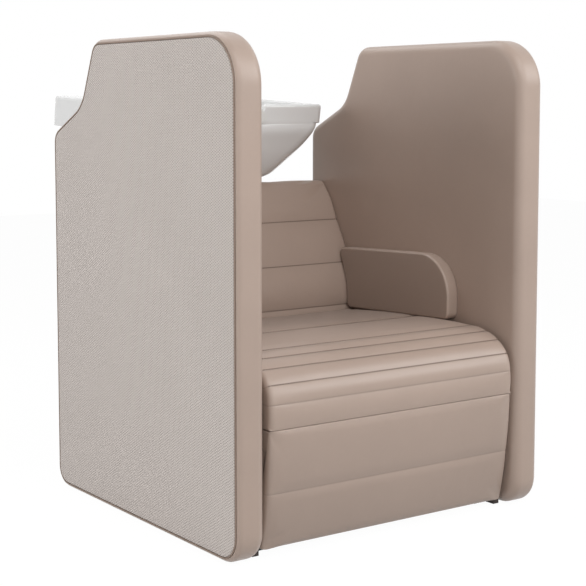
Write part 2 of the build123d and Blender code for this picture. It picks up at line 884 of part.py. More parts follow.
armrest_bolts = []
for depth in armrest_bolt_depths:
    start = Plane(
        origin=(pocket_x + board - bolt_head_height - loose_gap, front_y + depth, armrest_bolt_height),
        x_dir=(0, 1, 0),
        z_dir=(1, 0, 0),
    )
    reach = board - bolt_head_height + panel_inner_skin + armrest_thickness / 2 - loose_gap * 2
    bolt = fastener(start, bolt_radius, reach, bolt_head_radius, bolt_head_height)
    armrest_bolts += [bolt, mirrored(bolt)]
save(group(armrest_bolts), "armrest_bolts")

angle_screws = []
for depth, height in angle_screw_places:
    start = Plane(
        origin=(cheek_x - angle_wall, front_y + depth, height), x_dir=(0, 1, 0), z_dir=(-1, 0, 0)
    )
    screw = fastener(start, screw_radius, angle_wall + screw_bite, screw_head_radius, screw_head_height)
    angle_screws += [screw, mirrored(screw)]
save(group(angle_screws), "floor_angle_screws")

column_bolts = []
for height in rail_heights.values():
    for x in (-column_bolt_x, column_bolt_x):
        start = Plane(
            origin=(x, front_y + cross_rail_depth, height + cross_rail_height / 2),
            x_dir=(1, 0, 0),
            z_dir=(0, -1, 0),
        )
        reach = board + column_wall * 2
        column_bolts.append(fastener(start, bolt_radius, reach, bolt_head_radius, bolt_head_height))
for height in bracket_bolt_heights:
    start = Plane(
        origin=(arm_inner_x + bracket_wall, front_y + column_middle_depth, height),
        x_dir=(0, 1, 0),
        z_dir=(1, 0, 0),
    )
    reach = bracket_wall + column_wall * 2
    bolt = fastener(start, bolt_radius, reach, bolt_head_radius, bolt_head_height)
    column_bolts += [bolt, mirrored(bolt)]
save(group(column_bolts), "column_bolts")

# Tilt pin and lock lever
arm_outer_x = arm_inner_x + bracket_wall
lever_x = arm_outer_x + soft_gap
with BuildPart() as hinge_pin:
    with BuildSketch(across(-arm_outer_x)):
        with Locations((pivot_depth, pivot_height)):
            Circle(pin_radius)
    extrude(amount=arm_outer_x + lever_x + lock_hub_length + pin_radius / 4)
    chamfer(hinge_pin.edges().sort_by(Axis.X)[-1], pin_radius / 8)
    with BuildSketch(across(-arm_outer_x)):
        with Locations((pivot_depth, pivot_height)):
            Circle(pin_head_radius)
    extrude(amount=-pin_head_height)
save(hinge_pin.part, "hinge_pin")

lock_angle = radians(lock_rest_angle)
arm_x = lever_x + lock_hub_length / 2
lever_start = Vector(arm_x, front_y + pivot_depth, pivot_height)
lever_way = Vector(0, cos(lock_angle), -sin(lock_angle))
with BuildPart() as tilt_lock_lever:
    with BuildSketch(across(lever_x)):
        with Locations((pivot_depth, pivot_height)):
            Circle(lock_hub_radius)
    extrude(amount=lock_hub_length)
    with BuildSketch(Plane(origin=lever_start, x_dir=(1, 0, 0), z_dir=lever_way)):
        Circle(lock_arm_radius)
    extrude(amount=lock_arm_length)
    grip_start = lever_start + lever_way * (lock_arm_length - lock_grip_length)
    with BuildSketch(Plane(origin=grip_start, x_dir=(1, 0, 0), z_dir=lever_way)):
        Circle(lock_grip_radius)
    extrude(amount=lock_grip_length)
    grip_ends = tilt_lock_lever.edges().filter_by(GeomType.CIRCLE)
    grip_ends = grip_ends.filter_by(lambda edge: abs(edge.radius - lock_grip_radius) < running_gap)
    fillet(grip_ends, lock_grip_radius / 3)
    with BuildSketch(across(lever_x)):
        with Locations((pivot_depth, pivot_height)):
            Circle(pin_radius + running_gap)
    extrude(amount=lock_hub_length, mode=Mode.SUBTRACT)
save(tilt_lock_lever.part, "tilt_lock_lever")

# Service panel behind the column, pushed onto studs in the posts
panel_middle_height = (service_panel_bottom + cap_top_height) / 2
with BuildPart() as service_panel:
    with BuildSketch(facing_back(service_panel_depth)):
        with Locations((0, panel_middle_height)):
            Rectangle(service_panel_half_width * 2, cap_top_height - service_panel_bottom)
        notch_middle = (service_notch_height + cap_top_height) / 2
        with Locations((0, notch_middle)):
            Rectangle(
                service_notch_half_width * 2, cap_top_height - service_notch_height, mode=Mode.SUBTRACT
            )
    extrude(amount=thin_board)
    fillet(service_panel.edges().filter_by(Axis.Y), service_corner_radius)
    fillet(service_panel.faces().sort_by(Axis.Y)[-1].edges(), service_edge_radius)
save(service_panel.part, "service_panel")

studs = []
catches = []
for height in catch_heights:
    stud_place = (-catch_x, height)
    with BuildPart() as stud:
        with BuildSketch(facing_back(service_panel_depth)):
            with Locations(stud_place):
                Circle(stud_shank_radius)
        extrude(amount=-stud_reach)
        with Locations((catch_x, front_y + service_panel_depth - stud_reach, height)):
            Sphere(stud_ball_radius)
    studs += [stud.part, mirrored(stud.part)]
    with BuildPart() as catch:
        with BuildSketch(facing_back(post_rear_depth)):
            with Locations(stud_place):
                Circle(catch_radius)
        extrude(amount=-catch_depth)
        with BuildSketch(facing_back(post_rear_depth)):
            with Locations(stud_place):
                Circle(catch_lip_radius)
        extrude(amount=catch_lip)
        with BuildSketch(facing_back(post_rear_depth + catch_lip)):
            with Locations(stud_place):
                Circle(stud_ball_radius + loose_gap)
        extrude(amount=-catch_depth - catch_lip, mode=Mode.SUBTRACT)
    catches += [catch.part, mirrored(catch.part)]
save(group(studs), "service_panel_studs")
save(group(catches), "service_panel_catches")

# Basin: its own plane leans with the rim, "reach" runs rearwards and "height" square to it
tilt = radians(basin_tilt)
basin_plane = Plane(
    origin=(0, front_y + basin_front_depth, basin_front_height),
    x_dir=(1, 0, 0),
    z_dir=(0, -sin(tilt), cos(tilt)),
)


def basin_level(height):
    """Plane parallel to the rim at a height above it."""
    return basin_plane.offset(height)


def basin_side(x):
    """Side profile of the basin at x: first axis reach, second axis height."""
    return Plane(origin=basin_plane.from_local_coords((x, 0, 0)), x_dir=basin_plane.y_dir, z_dir=(1, 0, 0))


def basin_front(reach):
    """Front view of the basin at a reach: first axis x, second axis height."""
    start = basin_plane.from_local_coords((0, reach, 0))
    return Plane(origin=start, x_dir=(1, 0, 0), z_dir=basin_plane.y_dir * -1)


def basin_disc(x, reach, radii, heights):
    """A disc or tube square to the rim; radii are outer and inner, inner zero for a disc."""
    with BuildPart() as disc:
        with BuildSketch(basin_level(heights[0])):
            with Locations((x, reach)):
                Circle(radii[0])
                if radii[1]:
                    Circle(radii[1], mode=Mode.SUBTRACT)
        extrude(amount=heights[1] - heights[0])
    return disc.part


basin_rear_reach = (overall_depth - basin_front_depth - basin_apron * sin(tilt)) / cos(tilt)
notch_centre_height = notch_radius - notch_drop
slab_rows = [
    (0, basin_top_half_width, 0, basin_top_reach, basin_corner_radius),
    (basin_apron, basin_half_width, basin_front_undercut, basin_rear_reach, basin_corner_radius),
]
anchor_places = [(x, reach) for x in (-cradle_bolt_x, cradle_bolt_x)
                 for reach in (cradle_bolt_front, cradle_bolt_rear)]


def bowl_form(rows, ruled):
    """Loft through rounded rectangles, one for each row."""
    with BuildPart() as form:
        for drop, half, front, rear, radius in rows:
            with BuildSketch(basin_level(-drop)):
                with Locations((0, (front + rear) / 2)):
                    RectangleRounded(half * 2, rear - front, radius)
        loft(ruled=ruled)
    return form.part


def on_the_rim(face):
    """True for a face in the plane of the rim."""
    return abs(basin_plane.to_local_coords(face.center()).Z) < running_gap


def from_notch_axis(edge):
    """Distances of an edge's start, middle and end from the axis of the neck notch."""
    points = [basin_plane.to_local_coords(edge @ share) for share in (0, 0.5, 1)]
    return [Vector(point.X, point.Z - notch_centre_height).length for point in points]


def on_the_notch(edge):
    """True for an edge of the neck notch."""
    return all(abs(distance - notch_radius) < loose_gap for distance in from_notch_axis(edge))


def on_the_saddle(edge):
    """True for an inner end edge of the neck rest."""
    return all(abs(distance - saddle_inner) < running_gap for distance in from_notch_axis(edge))


with BuildPart() as basin:
    add(bowl_form(slab_rows, True))
    rim_faces = basin.faces().sort_by(Axis(basin_plane.origin, basin_plane.z_dir))
    fillet(rim_faces[-1].edges(), rim_edge_radius)
    with BuildSketch(basin_side(-half_width)):
        with BuildLine():
            Polyline(
                (-basin_front_undercut, -basin_front_edge),
                (0, -basin_front_edge),
                (basin_slope_run, -basin_apron),
                (basin_slope_run, -basin_apron * 2),
                (-basin_front_undercut, -basin_apron * 2),
                close=True,
            )
        make_face()
    extrude(amount=overall_width, mode=Mode.SUBTRACT)
    cavity_rear = basin_top_reach - deck_cavity_wall
    with BuildSketch(basin_level(-basin_deck)):
        with Locations((0, (deck_cavity_front + cavity_rear) / 2)):
            Rectangle((basin_top_half_width - deck_cavity_wall) * 2, cavity_rear - deck_cavity_front)
    extrude(amount=-basin_apron, mode=Mode.SUBTRACT)
    add(bowl_form(bowl_outside, False))
    add(bowl_form(bowl_inside, False), mode=Mode.SUBTRACT)
    rim_face = basin.faces().filter_by(GeomType.PLANE).filter_by(on_the_rim)[0]
    fillet(rim_face.inner_wires()[0].edges(), rim_edge_radius)
    with BuildSketch(basin_front(-basin_front_undercut)):
        with Locations((0, notch_centre_height)):
            Circle(notch_radius)
    extrude(amount=-basin_front_undercut - notch_run, mode=Mode.SUBTRACT)
    fillet(basin.edges().filter_by(on_the_notch), notch_edge_radius)
    with BuildSketch(basin_level(-bowl_floor)):
        with Locations((0, drain_reach)):
            Circle(flange_radius + loose_gap)
    extrude(amount=-flange_recess, mode=Mode.SUBTRACT)
    with BuildSketch(basin_level(-bowl_floor)):
        with Locations((0, drain_reach)):
            Circle(drain_hole_radius)
    extrude(amount=-basin_underside, mode=Mode.SUBTRACT)
    with BuildSketch(basin_level(0)):
        with Locations((mixer_x, fitting_reach), (shower_x, fitting_reach)):
            Circle(deck_hole_radius)
    extrude(amount=-basin_deck * 2, mode=Mode.SUBTRACT)
    with BuildSketch(basin_level(-basin_underside)):
        with Locations(*anchor_places):
            Circle(bolt_hole_radius)
    extrude(amount=basin_anchor_depth, mode=Mode.SUBTRACT)
save(basin.part, "basin")

# Cradle: a steel plate with two ears that turn on the tilt pin
pivot_point = basin_plane.to_local_coords(Vector(0, front_y + pivot_depth, pivot_height))
plate_top = -basin_underside - pad_thickness
plate_bottom = plate_top - cradle_thickness
ear_outer_x = arm_inner_x - cradle_ear_wall
ear_inner_x = ear_outer_x - cradle_ear_wall
with BuildPart() as basin_cradle:
    with BuildSketch(basin_level(plate_bottom)):
        with Locations((0, (cradle_front_reach + cradle_rear_reach) / 2)):
            RectangleRounded(cradle_half_width * 2, cradle_rear_reach - cradle_front_reach, pad_radius)
        with Locations((0, drain_reach)):
            Circle(cradle_opening_radius, mode=Mode.SUBTRACT)
        with Locations(*anchor_places):
            Circle(bolt_hole_radius, mode=Mode.SUBTRACT)
    extrude(amount=cradle_thickness)
    for x in (-ear_outer_x, ear_inner_x):
        with BuildSketch(basin_side(x)):
            with BuildLine():
                Polyline(
                    (pivot_point.Y - cradle_eye_radius * 2, plate_bottom),
                    (pivot_point.Y - cradle_eye_radius, pivot_point.Z),
                    (pivot_point.Y + cradle_eye_radius, pivot_point.Z),
                    (pivot_point.Y + cradle_eye_radius * 2, plate_bottom),
                    close=True,
                )
            make_face()
            with Locations((pivot_point.Y, pivot_point.Z)):
                Circle(cradle_eye_radius)
                Circle(bush_radius, mode=Mode.SUBTRACT)
        extrude(amount=cradle_ear_wall)
save(basin_cradle.part, "basin_cradle")

with BuildPart() as bush:
    with BuildSketch(across(ear_inner_x)):
        with Locations((pivot_depth, pivot_height)):
            Circle(bush_radius)
    extrude(amount=cradle_ear_wall)
    with BuildSketch(across(ear_outer_x)):
        with Locations((pivot_depth, pivot_height)):
            Circle(bush_flange_radius)
    extrude(amount=arm_inner_x - ear_outer_x - running_gap * 2)
    with BuildSketch(across(ear_inner_x)):
        with Locations((pivot_depth, pivot_height)):
            Circle(pin_radius + running_gap)
    extrude(amount=column_size, mode=Mode.SUBTRACT)
save(group([bush.part, mirrored(bush.part)]), "cradle_bushes")

pads = []
cradle_bolts = []
for x, reach in anchor_places:
    pads.append(basin_disc(x, reach, (pad_radius, bolt_hole_radius), (plate_top, -basin_underside)))
    under = basin_plane.from_local_coords((x, reach, plate_bottom))
    under_plane = Plane(origin=under, x_dir=(1, 0, 0), z_dir=basin_plane.z_dir * -1)
    bite = cradle_thickness + pad_thickness + basin_anchor_depth - soft_gap * 2
    cradle_bolts.append(fastener(under_plane, bolt_radius, bite, bolt_head_radius, bolt_head_height))
save(group(pads), "cradle_pads")
save(group(cradle_bolts), "cradle_bolts")

# Neck rest: a soft saddle that lies in the notch and lifts off
saddle_outer = notch_radius - neck_rest_clearance
saddle_inner = saddle_outer - neck_rest_thickness
saddle_parts = [
    (-neck_rest_front, neck_rest_rear, saddle_outer),
    (-neck_rest_front, -soft_gap, saddle_outer + neck_rest_flap),
    (neck_rest_slot, neck_rest_rear, saddle_outer + neck_rest_flap),
]
with BuildPart() as neck_rest:
    for front, rear, radius in saddle_parts:
        with BuildSketch(basin_front(front)):
            with BuildLine():
                arc = CenterArc((0, notch_centre_height), radius, 270 - neck_rest_angle, neck_rest_angle * 2)
                inner = CenterArc(
                    (0, notch_centre_height), saddle_inner, 270 - neck_rest_angle, neck_rest_angle * 2
                )
                Line(arc @ 0, inner @ 0)
                Line(arc @ 1, inner @ 1)
            make_face()
        extrude(amount=-(rear - front))
    inner_ends = neck_rest.edges().filter_by(GeomType.CIRCLE).filter_by(on_the_saddle)
    fillet(inner_ends, neck_rest_thickness / 4)
save(neck_rest.part, "neck_rest")

# Waste fitting through the bowl floor, its nut, and the strainer in its dish
flange_top = -bowl_floor - flange_recess + flange_thickness
dish_floor = flange_top - strainer_thickness - running_gap * 2
with BuildPart() as waste_fitting:
    add(basin_disc(0, drain_reach, (flange_radius, 0), (-bowl_floor - flange_recess, flange_top)))
    chamfer(waste_fitting.edges().group_by(Axis(basin_plane.origin, basin_plane.z_dir))[-1], soft_gap)
    tube_bottom = -bowl_floor - flange_recess - waste_tube_length
    add(basin_disc(0, drain_reach, (waste_tube_radius, 0), (tube_bottom, flange_top)))
    add(basin_disc(0, drain_reach, (waste_bore_radius, 0), (tube_bottom, flange_top)), mode=Mode.SUBTRACT)
    add(basin_disc(0, drain_reach, (strainer_dish_radius, 0), (dish_floor, flange_top)), mode=Mode.SUBTRACT)
save(waste_fitting.part, "waste_fitting")


def hex_nut(x, reach, radius, bore, heights):
    """A hexagonal nut square to the rim."""
    with BuildPart() as nut:
        with BuildSketch(basin_level(heights[0])):
            with Locations((x, reach)):
                RegularPolygon(radius=radius, side_count=6)
                Circle(bore, mode=Mode.SUBTRACT)
        extrude(amount=heights[1] - heights[0])
    return nut.part


nut_heights = (-basin_underside - waste_nut_height, -basin_underside)
save(hex_nut(0, drain_reach, waste_nut_radius, waste_tube_radius + running_gap, nut_heights), "waste_nut")

strainer_top = dish_floor + strainer_thickness
cup_bottom = strainer_top - strainer_cup_depth
with BuildPart() as strainer:
    add(basin_disc(0, drain_reach, (strainer_radius, 0), (dish_floor, strainer_top)))
    add(basin_disc(0, drain_reach, (strainer_cup_radius, 0), (cup_bottom, strainer_top)))
    cup_bore = strainer_cup_radius - strainer_thickness
    cup_floor = cup_bottom + strainer_thickness
    add(basin_disc(0, drain_reach, (cup_bore, 0), (cup_floor, strainer_top)), mode=Mode.SUBTRACT)
    with BuildSketch(basin_level(cup_bottom)):
        with Locations((0, drain_reach)):
            with PolarLocations((cup_bore + strainer_knob_radius) / 2, strainer_holes):
                Circle(strainer_hole_radius)
    extrude(amount=strainer_thickness, mode=Mode.SUBTRACT)
    knob_top = strainer_top + strainer_knob_height
    add(basin_disc(0, drain_reach, (strainer_knob_radius, 0), (cup_bottom, knob_top)))
    fillet(
        strainer.edges().group_by(Axis(basin_plane.origin, basin_plane.z_dir))[-1], strainer_knob_radius / 2
    )
save(strainer.part, "strainer")

# Mixer on the rear deck: body, swivelling cap and a lever that lifts
shank_bottom = -basin_deck - deck_nut_height - deck_shank_proud
with BuildPart() as mixer_body:
    add(basin_disc(mixer_x, fitting_reach, (mixer_base_radius, 0), (0, mixer_base_height)))
    chamfer(mixer_body.edges().group_by(Axis(basin_plane.origin, basin_plane.z_dir))[-1], soft_gap * 4)
    add(basin_disc(mixer_x, fitting_reach, (mixer_radius, 0), (0, mixer_body_height)))
    add(basin_disc(mixer_x, fitting_reach, (deck_shank_radius, 0), (shank_bottom, 0)))
    socket_bottom = mixer_body_height - spigot_length - soft_gap
    add(
        basin_disc(
            mixer_x, fitting_reach, (spigot_radius + running_gap, 0), (socket_bottom, mixer_body_height)
        ),
        mode=Mode.SUBTRACT,
    )
    add(
        basin_disc(mixer_x, fitting_reach, (nipple_radius, 0), (shank_bottom, mixer_base_height)),
        mode=Mode.SUBTRACT,
    )
save(mixer_body.part, "mixer_body")

cap_base = mixer_body_height + running_gap
cap_end = cap_base + mixer_cap_height
lever_pivot = cap_base + lever_pivot_rise
slot_bottom = lever_pivot - lever_hub_radius - soft_gap * 2
slot_front = fitting_reach - lever_hub_radius - soft_gap * 2
with BuildPart() as mixer_cap:
    add(basin_disc(mixer_x, fitting_reach, (mixer_radius, 0), (cap_base, cap_end)))
    fillet(mixer_cap.edges().group_by(Axis(basin_plane.origin, basin_plane.z_dir))[-1], soft_gap * 4)
    add(basin_disc(mixer_x, fitting_reach, (spigot_radius, 0), (cap_base - spigot_length, cap_base)))
    with BuildSketch(basin_level(slot_bottom)):
        with Locations((mixer_x, slot_front + mixer_radius)):
            Rectangle(lever_slot_width, mixer_radius * 2)
    extrude(amount=mixer_cap_height, mode=Mode.SUBTRACT)
    trunnion_reach = lever_width / 2 + lever_trunnion + loose_gap
    with BuildSketch(basin_side(mixer_x - trunnion_reach)):
        with Locations((fitting_reach, lever_pivot)):
            Circle(lever_pin_radius + running_gap)
    extrude(amount=trunnion_reach * 2, mode=Mode.SUBTRACT)
save(mixer_cap.part, "mixer_cap")

rise = radians(lever_rise_angle)
lever_centre = basin_plane.from_local_coords((mixer_x, fitting_reach, lever_pivot))
lever_run = basin_plane.y_dir * cos(rise) + basin_plane.z_dir * sin(rise)
with BuildPart() as mixer_lever:
    with BuildSketch(Plane(origin=lever_centre, x_dir=(1, 0, 0), z_dir=lever_run)):
        Rectangle(lever_width, lever_thickness)
    extrude(amount=lever_length)
    lever_end = mixer_lever.faces().sort_by(Axis(lever_centre, lever_run))[-1]
    fillet(lever_end.edges(), lever_thickness / 3)
    hub = (lever_width / 2, lever_hub_radius)
    trunnion = (lever_width / 2 + lever_trunnion, lever_pin_radius)
    for half, radius in (hub, trunnion):
        with BuildSketch(basin_side(mixer_x - half)):
            with Locations((fitting_reach, lever_pivot)):
                Circle(radius)
        extrude(amount=half * 2)
save(mixer_lever.part, "mixer_lever")

deck_nut_heights = (-basin_deck - deck_nut_height, -basin_deck)
deck_nuts = [
    hex_nut(x, fitting_reach, deck_nut_radius, deck_shank_radius + running_gap, deck_nut_heights)
    for x in (mixer_x, shower_x)
]
save(group(deck_nuts), "deck_nuts")

# Hand shower, parked upright in a collar
with BuildPart() as shower_collar:
    add(basin_disc(shower_x, fitting_reach, (collar_flange_radius, 0), (0, collar_flange_height)))
    fillet(shower_collar.edges().group_by(Axis(basin_plane.origin, basin_plane.z_dir))[-1], soft_gap * 4)
    add(basin_disc(shower_x, fitting_reach, (deck_shank_radius, 0), (shank_bottom, 0)))
    collar_bore = (collar_bore_radius, 0)
    collar_heights = (shank_bottom, collar_flange_height)
    add(basin_disc(shower_x, fitting_reach, collar_bore, collar_heights), mode=Mode.SUBTRACT)
save(shower_collar.part, "shower_collar")

lean = radians(shower_head_lean)
neck_start = basin_plane.from_local_coords((shower_x, fitting_reach, shower_rise))
neck_way = basin_plane.y_dir * -sin(lean) + basin_plane.z_dir * cos(lean)
spray_way = basin_plane.y_dir * -cos(lean) - basin_plane.z_dir * sin(lean)
head_centre = neck_start + neck_way * (shower_neck_length + shower_head_radius * shower_face_share)
head_back = head_centre - spray_way * (shower_head_height / 2)
with BuildPart() as hand_shower:
    with BuildSketch(Plane(origin=head_back, x_dir=(1, 0, 0), z_dir=spray_way)):
        Circle(shower_head_radius)
    extrude(amount=shower_head_height)
    head_back_edge = hand_shower.edges().sort_by(Axis(head_back, spray_way))[0]
    fillet(head_back_edge, shower_head_height / 3)
    with BuildSketch(Plane(origin=head_centre, x_dir=(1, 0, 0), z_dir=spray_way)):
        Circle(shower_head_radius * shower_face_share)
    extrude(amount=shower_head_height * shower_nose_share)
    with Locations(neck_start):
        Sphere(shower_grip_radius)
    with BuildSketch(Plane(origin=neck_start, x_dir=(1, 0, 0), z_dir=neck_way)):
        Circle(shower_grip_radius * shower_neck_share)
    extrude(amount=shower_neck_length)
    grip_bottom = -shower_drop + shower_shoulder_radius
    add(basin_disc(shower_x, fitting_reach, (shower_grip_radius, 0), (grip_bottom, shower_rise)))
    add(basin_disc(shower_x, fitting_reach, (shower_tail_radius, 0), (-shower_drop, grip_bottom)))
    shoulder_top = collar_flange_height * 2
    shoulder_heights = (collar_flange_height + running_gap, shoulder_top)
    add(basin_disc(shower_x, fitting_reach, (shower_shoulder_radius, 0), shoulder_heights))
save(hand_shower.part, "hand_shower")

# Waste trap and the pipe that leads down from it
service_y = front_y + service_depth
outlet_height = trap_bottom_height + trap_body_height * trap_outlet_share
trap_top = trap_bottom_height + trap_body_height
socket_start = trap_x + trap_radius
socket_end = socket_start + trap_socket_length


def standing_tube(x, depth, radii, heights):
    """An upright disc or tube; radii are outer and inner, inner zero for a disc."""
    with BuildPart() as tube:
        with BuildSketch(level(heights[0])):
            with Locations((x, depth)):
                Circle(radii[0])
                if radii[1]:
                    Circle(radii[1], mode=Mode.SUBTRACT)
        extrude(amount=heights[1] - heights[0])
    return tube.part


def outlet_disc(radius, x_range):
    """A disc along X at the height of the trap's outlet."""
    with BuildPart() as disc:
        with BuildSketch(across(x_range[0])):
            with Locations((service_depth, outlet_height)):
                Circle(radius)
        extrude(amount=x_range[1] - x_range[0])
    return disc.part


pipe_bore = pipe_radius - pipe_wall
trap_bore = trap_radius - pipe_wall
with BuildPart() as trap:
    add(standing_tube(trap_x, service_depth, (trap_radius, 0), (trap_bottom_height, trap_top)))
    fillet(trap.edges().group_by(Axis.Z)[0], pipe_wall * 2)
    ring_middle = trap_bottom_height + trap_body_height / 3
    ring_heights = (ring_middle - trap_ring_height / 2, ring_middle + trap_ring_height / 2)
    add(standing_tube(trap_x, service_depth, (trap_radius + pipe_wall, 0), ring_heights))
    inlet_top = trap_top + trap_inlet_height
    add(standing_tube(trap_x, service_depth, (pipe_radius, 0), (trap_top, inlet_top)))
    add(outlet_disc(pipe_radius + pipe_wall, (trap_x, socket_end)))
    bore_bottom = trap_bottom_height + pipe_wall
    bore_heights = (bore_bottom, trap_top - pipe_wall)
    add(standing_tube(trap_x, service_depth, (trap_bore, 0), bore_heights), mode=Mode.SUBTRACT)
    add(standing_tube(trap_x, service_depth, (pipe_bore, 0), (bore_bottom, inlet_top)), mode=Mode.SUBTRACT)
    add(outlet_disc(pipe_bore, (trap_x, socket_end)), mode=Mode.SUBTRACT)
    add(outlet_disc(pipe_radius + running_gap, (socket_start, socket_end)), mode=Mode.SUBTRACT)
save(trap.part, "waste_trap")

bend_start = pipe_x - pipe_bend_radius
bend_height = outlet_height - pipe_bend_radius
bend_axis = Axis((bend_start, service_y, bend_height), (0, 1, 0))
with BuildPart() as waste_pipe:
    for radius, mode in ((pipe_radius, Mode.ADD), (pipe_bore, Mode.SUBTRACT)):
        add(outlet_disc(radius, (socket_start + loose_gap, bend_start)), mode=mode)
        with BuildSketch(across(bend_start)):
            with Locations((service_depth, outlet_height)):
                Circle(radius)
        revolve(axis=bend_axis, revolution_arc=90, mode=mode)
        add(standing_tube(pipe_x, service_depth, (radius, 0), (pipe_foot_height, bend_height)), mode=mode)
        if mode == Mode.ADD:
            bead_bottom = pipe_foot_height + pipe_spigot_length
            bead = (bead_bottom, bead_bottom + pipe_wall * 2)
            add(standing_tube(pipe_x, service_depth, (pipe_radius + pipe_wall, 0), bead))
save(waste_pipe.part, "waste_pipe")

board_rear_depth = mid_board_depth + board
with BuildPart() as pipe_clip:
    clip_reach = (board_rear_depth, service_depth)
    clip_x = (pipe_x - clip_width / 2, pipe_x + clip_width / 2)
    add(plank(clip_x, clip_reach, (clip_height - clip_stem / 2, clip_height + clip_stem / 2)))
    base_x = (pipe_x - clip_width, pipe_x + clip_width)
    base_reach = (board_rear_depth, board_rear_depth + clip_wall)
    base_heights = (clip_height - clip_width, clip_height + clip_width)
    add(plank(base_x, base_reach, base_heights))
    clip_bore = pipe_radius + running_gap
    clip_heights = (clip_height - clip_width / 2, clip_height + clip_width / 2)
    add(standing_tube(pipe_x, service_depth, (clip_bore + clip_wall, 0), clip_heights))
    add(standing_tube(pipe_x, service_depth, (clip_bore, 0), clip_heights), mode=Mode.SUBTRACT)
save(pipe_clip.part, "pipe_clip")

# Stop valves on a plate behind the mid board, each with a lobed knob
plate_x = (valve_x[0] - valve_plate_margin, valve_x[1] + valve_plate_margin)
plate_reach = (board_rear_depth, board_rear_depth + valve_plate_thickness)
plate_heights = (valve_height - valve_plate_margin, valve_height + valve_plate_margin)
save(plank(plate_x, plate_reach, plate_heights), "valve_plate")

valve_bottom = valve_height - valve_half_length
valve_top = valve_height + valve_half_length
valves = []
for x in valve_x:
    with BuildPart() as valve:
        add(standing_tube(x, valve_depth, (valve_radius, 0), (valve_bottom, valve_top)))
        add(standing_tube(x, valve_depth, (thread_radius, 0), (valve_bottom - thread_length, valve_bottom)))
        add(standing_tube(x, valve_depth, (nipple_radius, 0), (valve_top, valve_top + nipple_length)))
        for radius, start, end in (
            (valve_boss_radius, plate_reach[1], valve_depth),
            (spindle_radius, valve_depth, valve_depth + valve_radius + spindle_length),
        ):
            with BuildSketch(facing_back(start)):
                with Locations((-x, valve_height)):
                    Circle(radius)
            extrude(amount=end - start)
        bore_radius = nipple_radius - nipple_wall
        inlet_bore = (valve_bottom - thread_length, valve_bottom)
        outlet_bore = (valve_top, valve_top + nipple_length)
        for heights in (inlet_bore, outlet_bore):
            add(standing_tube(x, valve_depth, (bore_radius, 0), heights), mode=Mode.SUBTRACT)
    valves.append(valve.part)
save(group(valves), "stop_valves")

knob_depth = valve_depth + valve_radius + knob_standoff
spindle_end = valve_depth + valve_radius + spindle_length
for name, x in zip(("hot_valve_knob", "cold_valve_knob"), valve_x):
    with BuildPart() as knob:
        with BuildSketch(facing_back(knob_depth)):
            with Locations((-x, valve_height)):
                Circle(knob_radius - knob_lobe_radius / 2)
                with PolarLocations(knob_radius - knob_lobe_radius, knob_lobes):
                    Circle(knob_lobe_radius)
        extrude(amount=knob_length)
        chamfer(knob.faces().sort_by(Axis.Y)[-1].edges(), soft_gap * 2)
        with BuildSketch(facing_back(knob_depth)):
            with Locations((-x, valve_height)):
                Circle(spindle_radius + running_gap)
        extrude(amount=spindle_end + soft_gap - knob_depth, mode=Mode.SUBTRACT)
    save(knob.part, name)
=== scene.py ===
import json
import math

import bmesh
import bpy
import numpy as np
from bpy.props import FloatProperty, FloatVectorProperty, PointerProperty
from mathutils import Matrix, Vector
from mathutils.geometry import delaunay_2d_cdt


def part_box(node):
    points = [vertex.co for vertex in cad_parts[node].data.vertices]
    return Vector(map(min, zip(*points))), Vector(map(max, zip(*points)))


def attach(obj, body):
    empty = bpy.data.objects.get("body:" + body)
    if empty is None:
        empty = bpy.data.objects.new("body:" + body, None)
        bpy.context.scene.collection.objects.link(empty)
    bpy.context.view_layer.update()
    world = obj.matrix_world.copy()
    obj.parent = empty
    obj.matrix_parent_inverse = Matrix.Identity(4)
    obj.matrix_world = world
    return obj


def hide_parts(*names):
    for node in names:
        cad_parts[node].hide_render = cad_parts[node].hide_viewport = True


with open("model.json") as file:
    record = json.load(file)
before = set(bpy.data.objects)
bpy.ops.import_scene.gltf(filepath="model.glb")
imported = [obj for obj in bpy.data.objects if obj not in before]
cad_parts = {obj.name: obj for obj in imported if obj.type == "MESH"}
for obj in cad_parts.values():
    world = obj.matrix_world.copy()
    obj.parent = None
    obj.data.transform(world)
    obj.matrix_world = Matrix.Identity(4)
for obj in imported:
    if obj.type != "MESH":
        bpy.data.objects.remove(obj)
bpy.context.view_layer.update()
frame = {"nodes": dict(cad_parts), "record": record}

bl_info = {
    "name": "Hair washing bed",
    "version": (1, 0, 0),
    "blender": (4, 5, 0),
    "location": "3D View > Sidebar > Wash bed",
    "description": "Dresses the frame of a salon hair washing bed: padded panels, seat, backrest and basin",
    "category": "Object",
}

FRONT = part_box("right_panel_cover")[0].y

# Outline of a side panel as (depth behind the front, height), and its corner radii
PANEL_CORNERS = [(0, 0.004), (0.9, 0.004), (0.9, 0.9637), (0.7387, 1.0389), (0.6669, 1.2), (0, 1.2)]
PANEL_RADII = [0.07, 0.055, 0.045, 0.1, 0.045, 0.12]
PANEL_STEP = 0.012
PANEL_CELL = 0.016
# The pocket in a cover's outer face, as (inset from the outline, distance in from the face)
POCKET = ((0.026, 0.037), (0.0155, 0.035), (0.0105, 0.006))
POCKET_LIP = 0.0088
COVER_MIDDLE = 0.002
ROUND_STEPS = 8

# The outer fabric: insets of its back, then of its edge; how far its edge turns down and inwards
PAD_BACK = (0.026, 0.0145)
PAD_INSET = 0.0133
PAD_DROP = 0.0045
PAD_TURN = 0.006
PAD_STEPS = 5
PIPING_INSET = 0.0112
PIPING_SUNK = 0.0026
PIPING_SIDES = 10

# Seams of the seat, the apron and the backrest as (depth, height)
SEAT_SEAMS = [
    (0.0040, 0.3050), (0.0027, 0.3632), (0.0159, 0.4069), (0.0484, 0.4376), (0.0882, 0.4548),
    (0.1406, 0.4631), (0.3613, 0.4608), (0.6511, 0.4455),
]
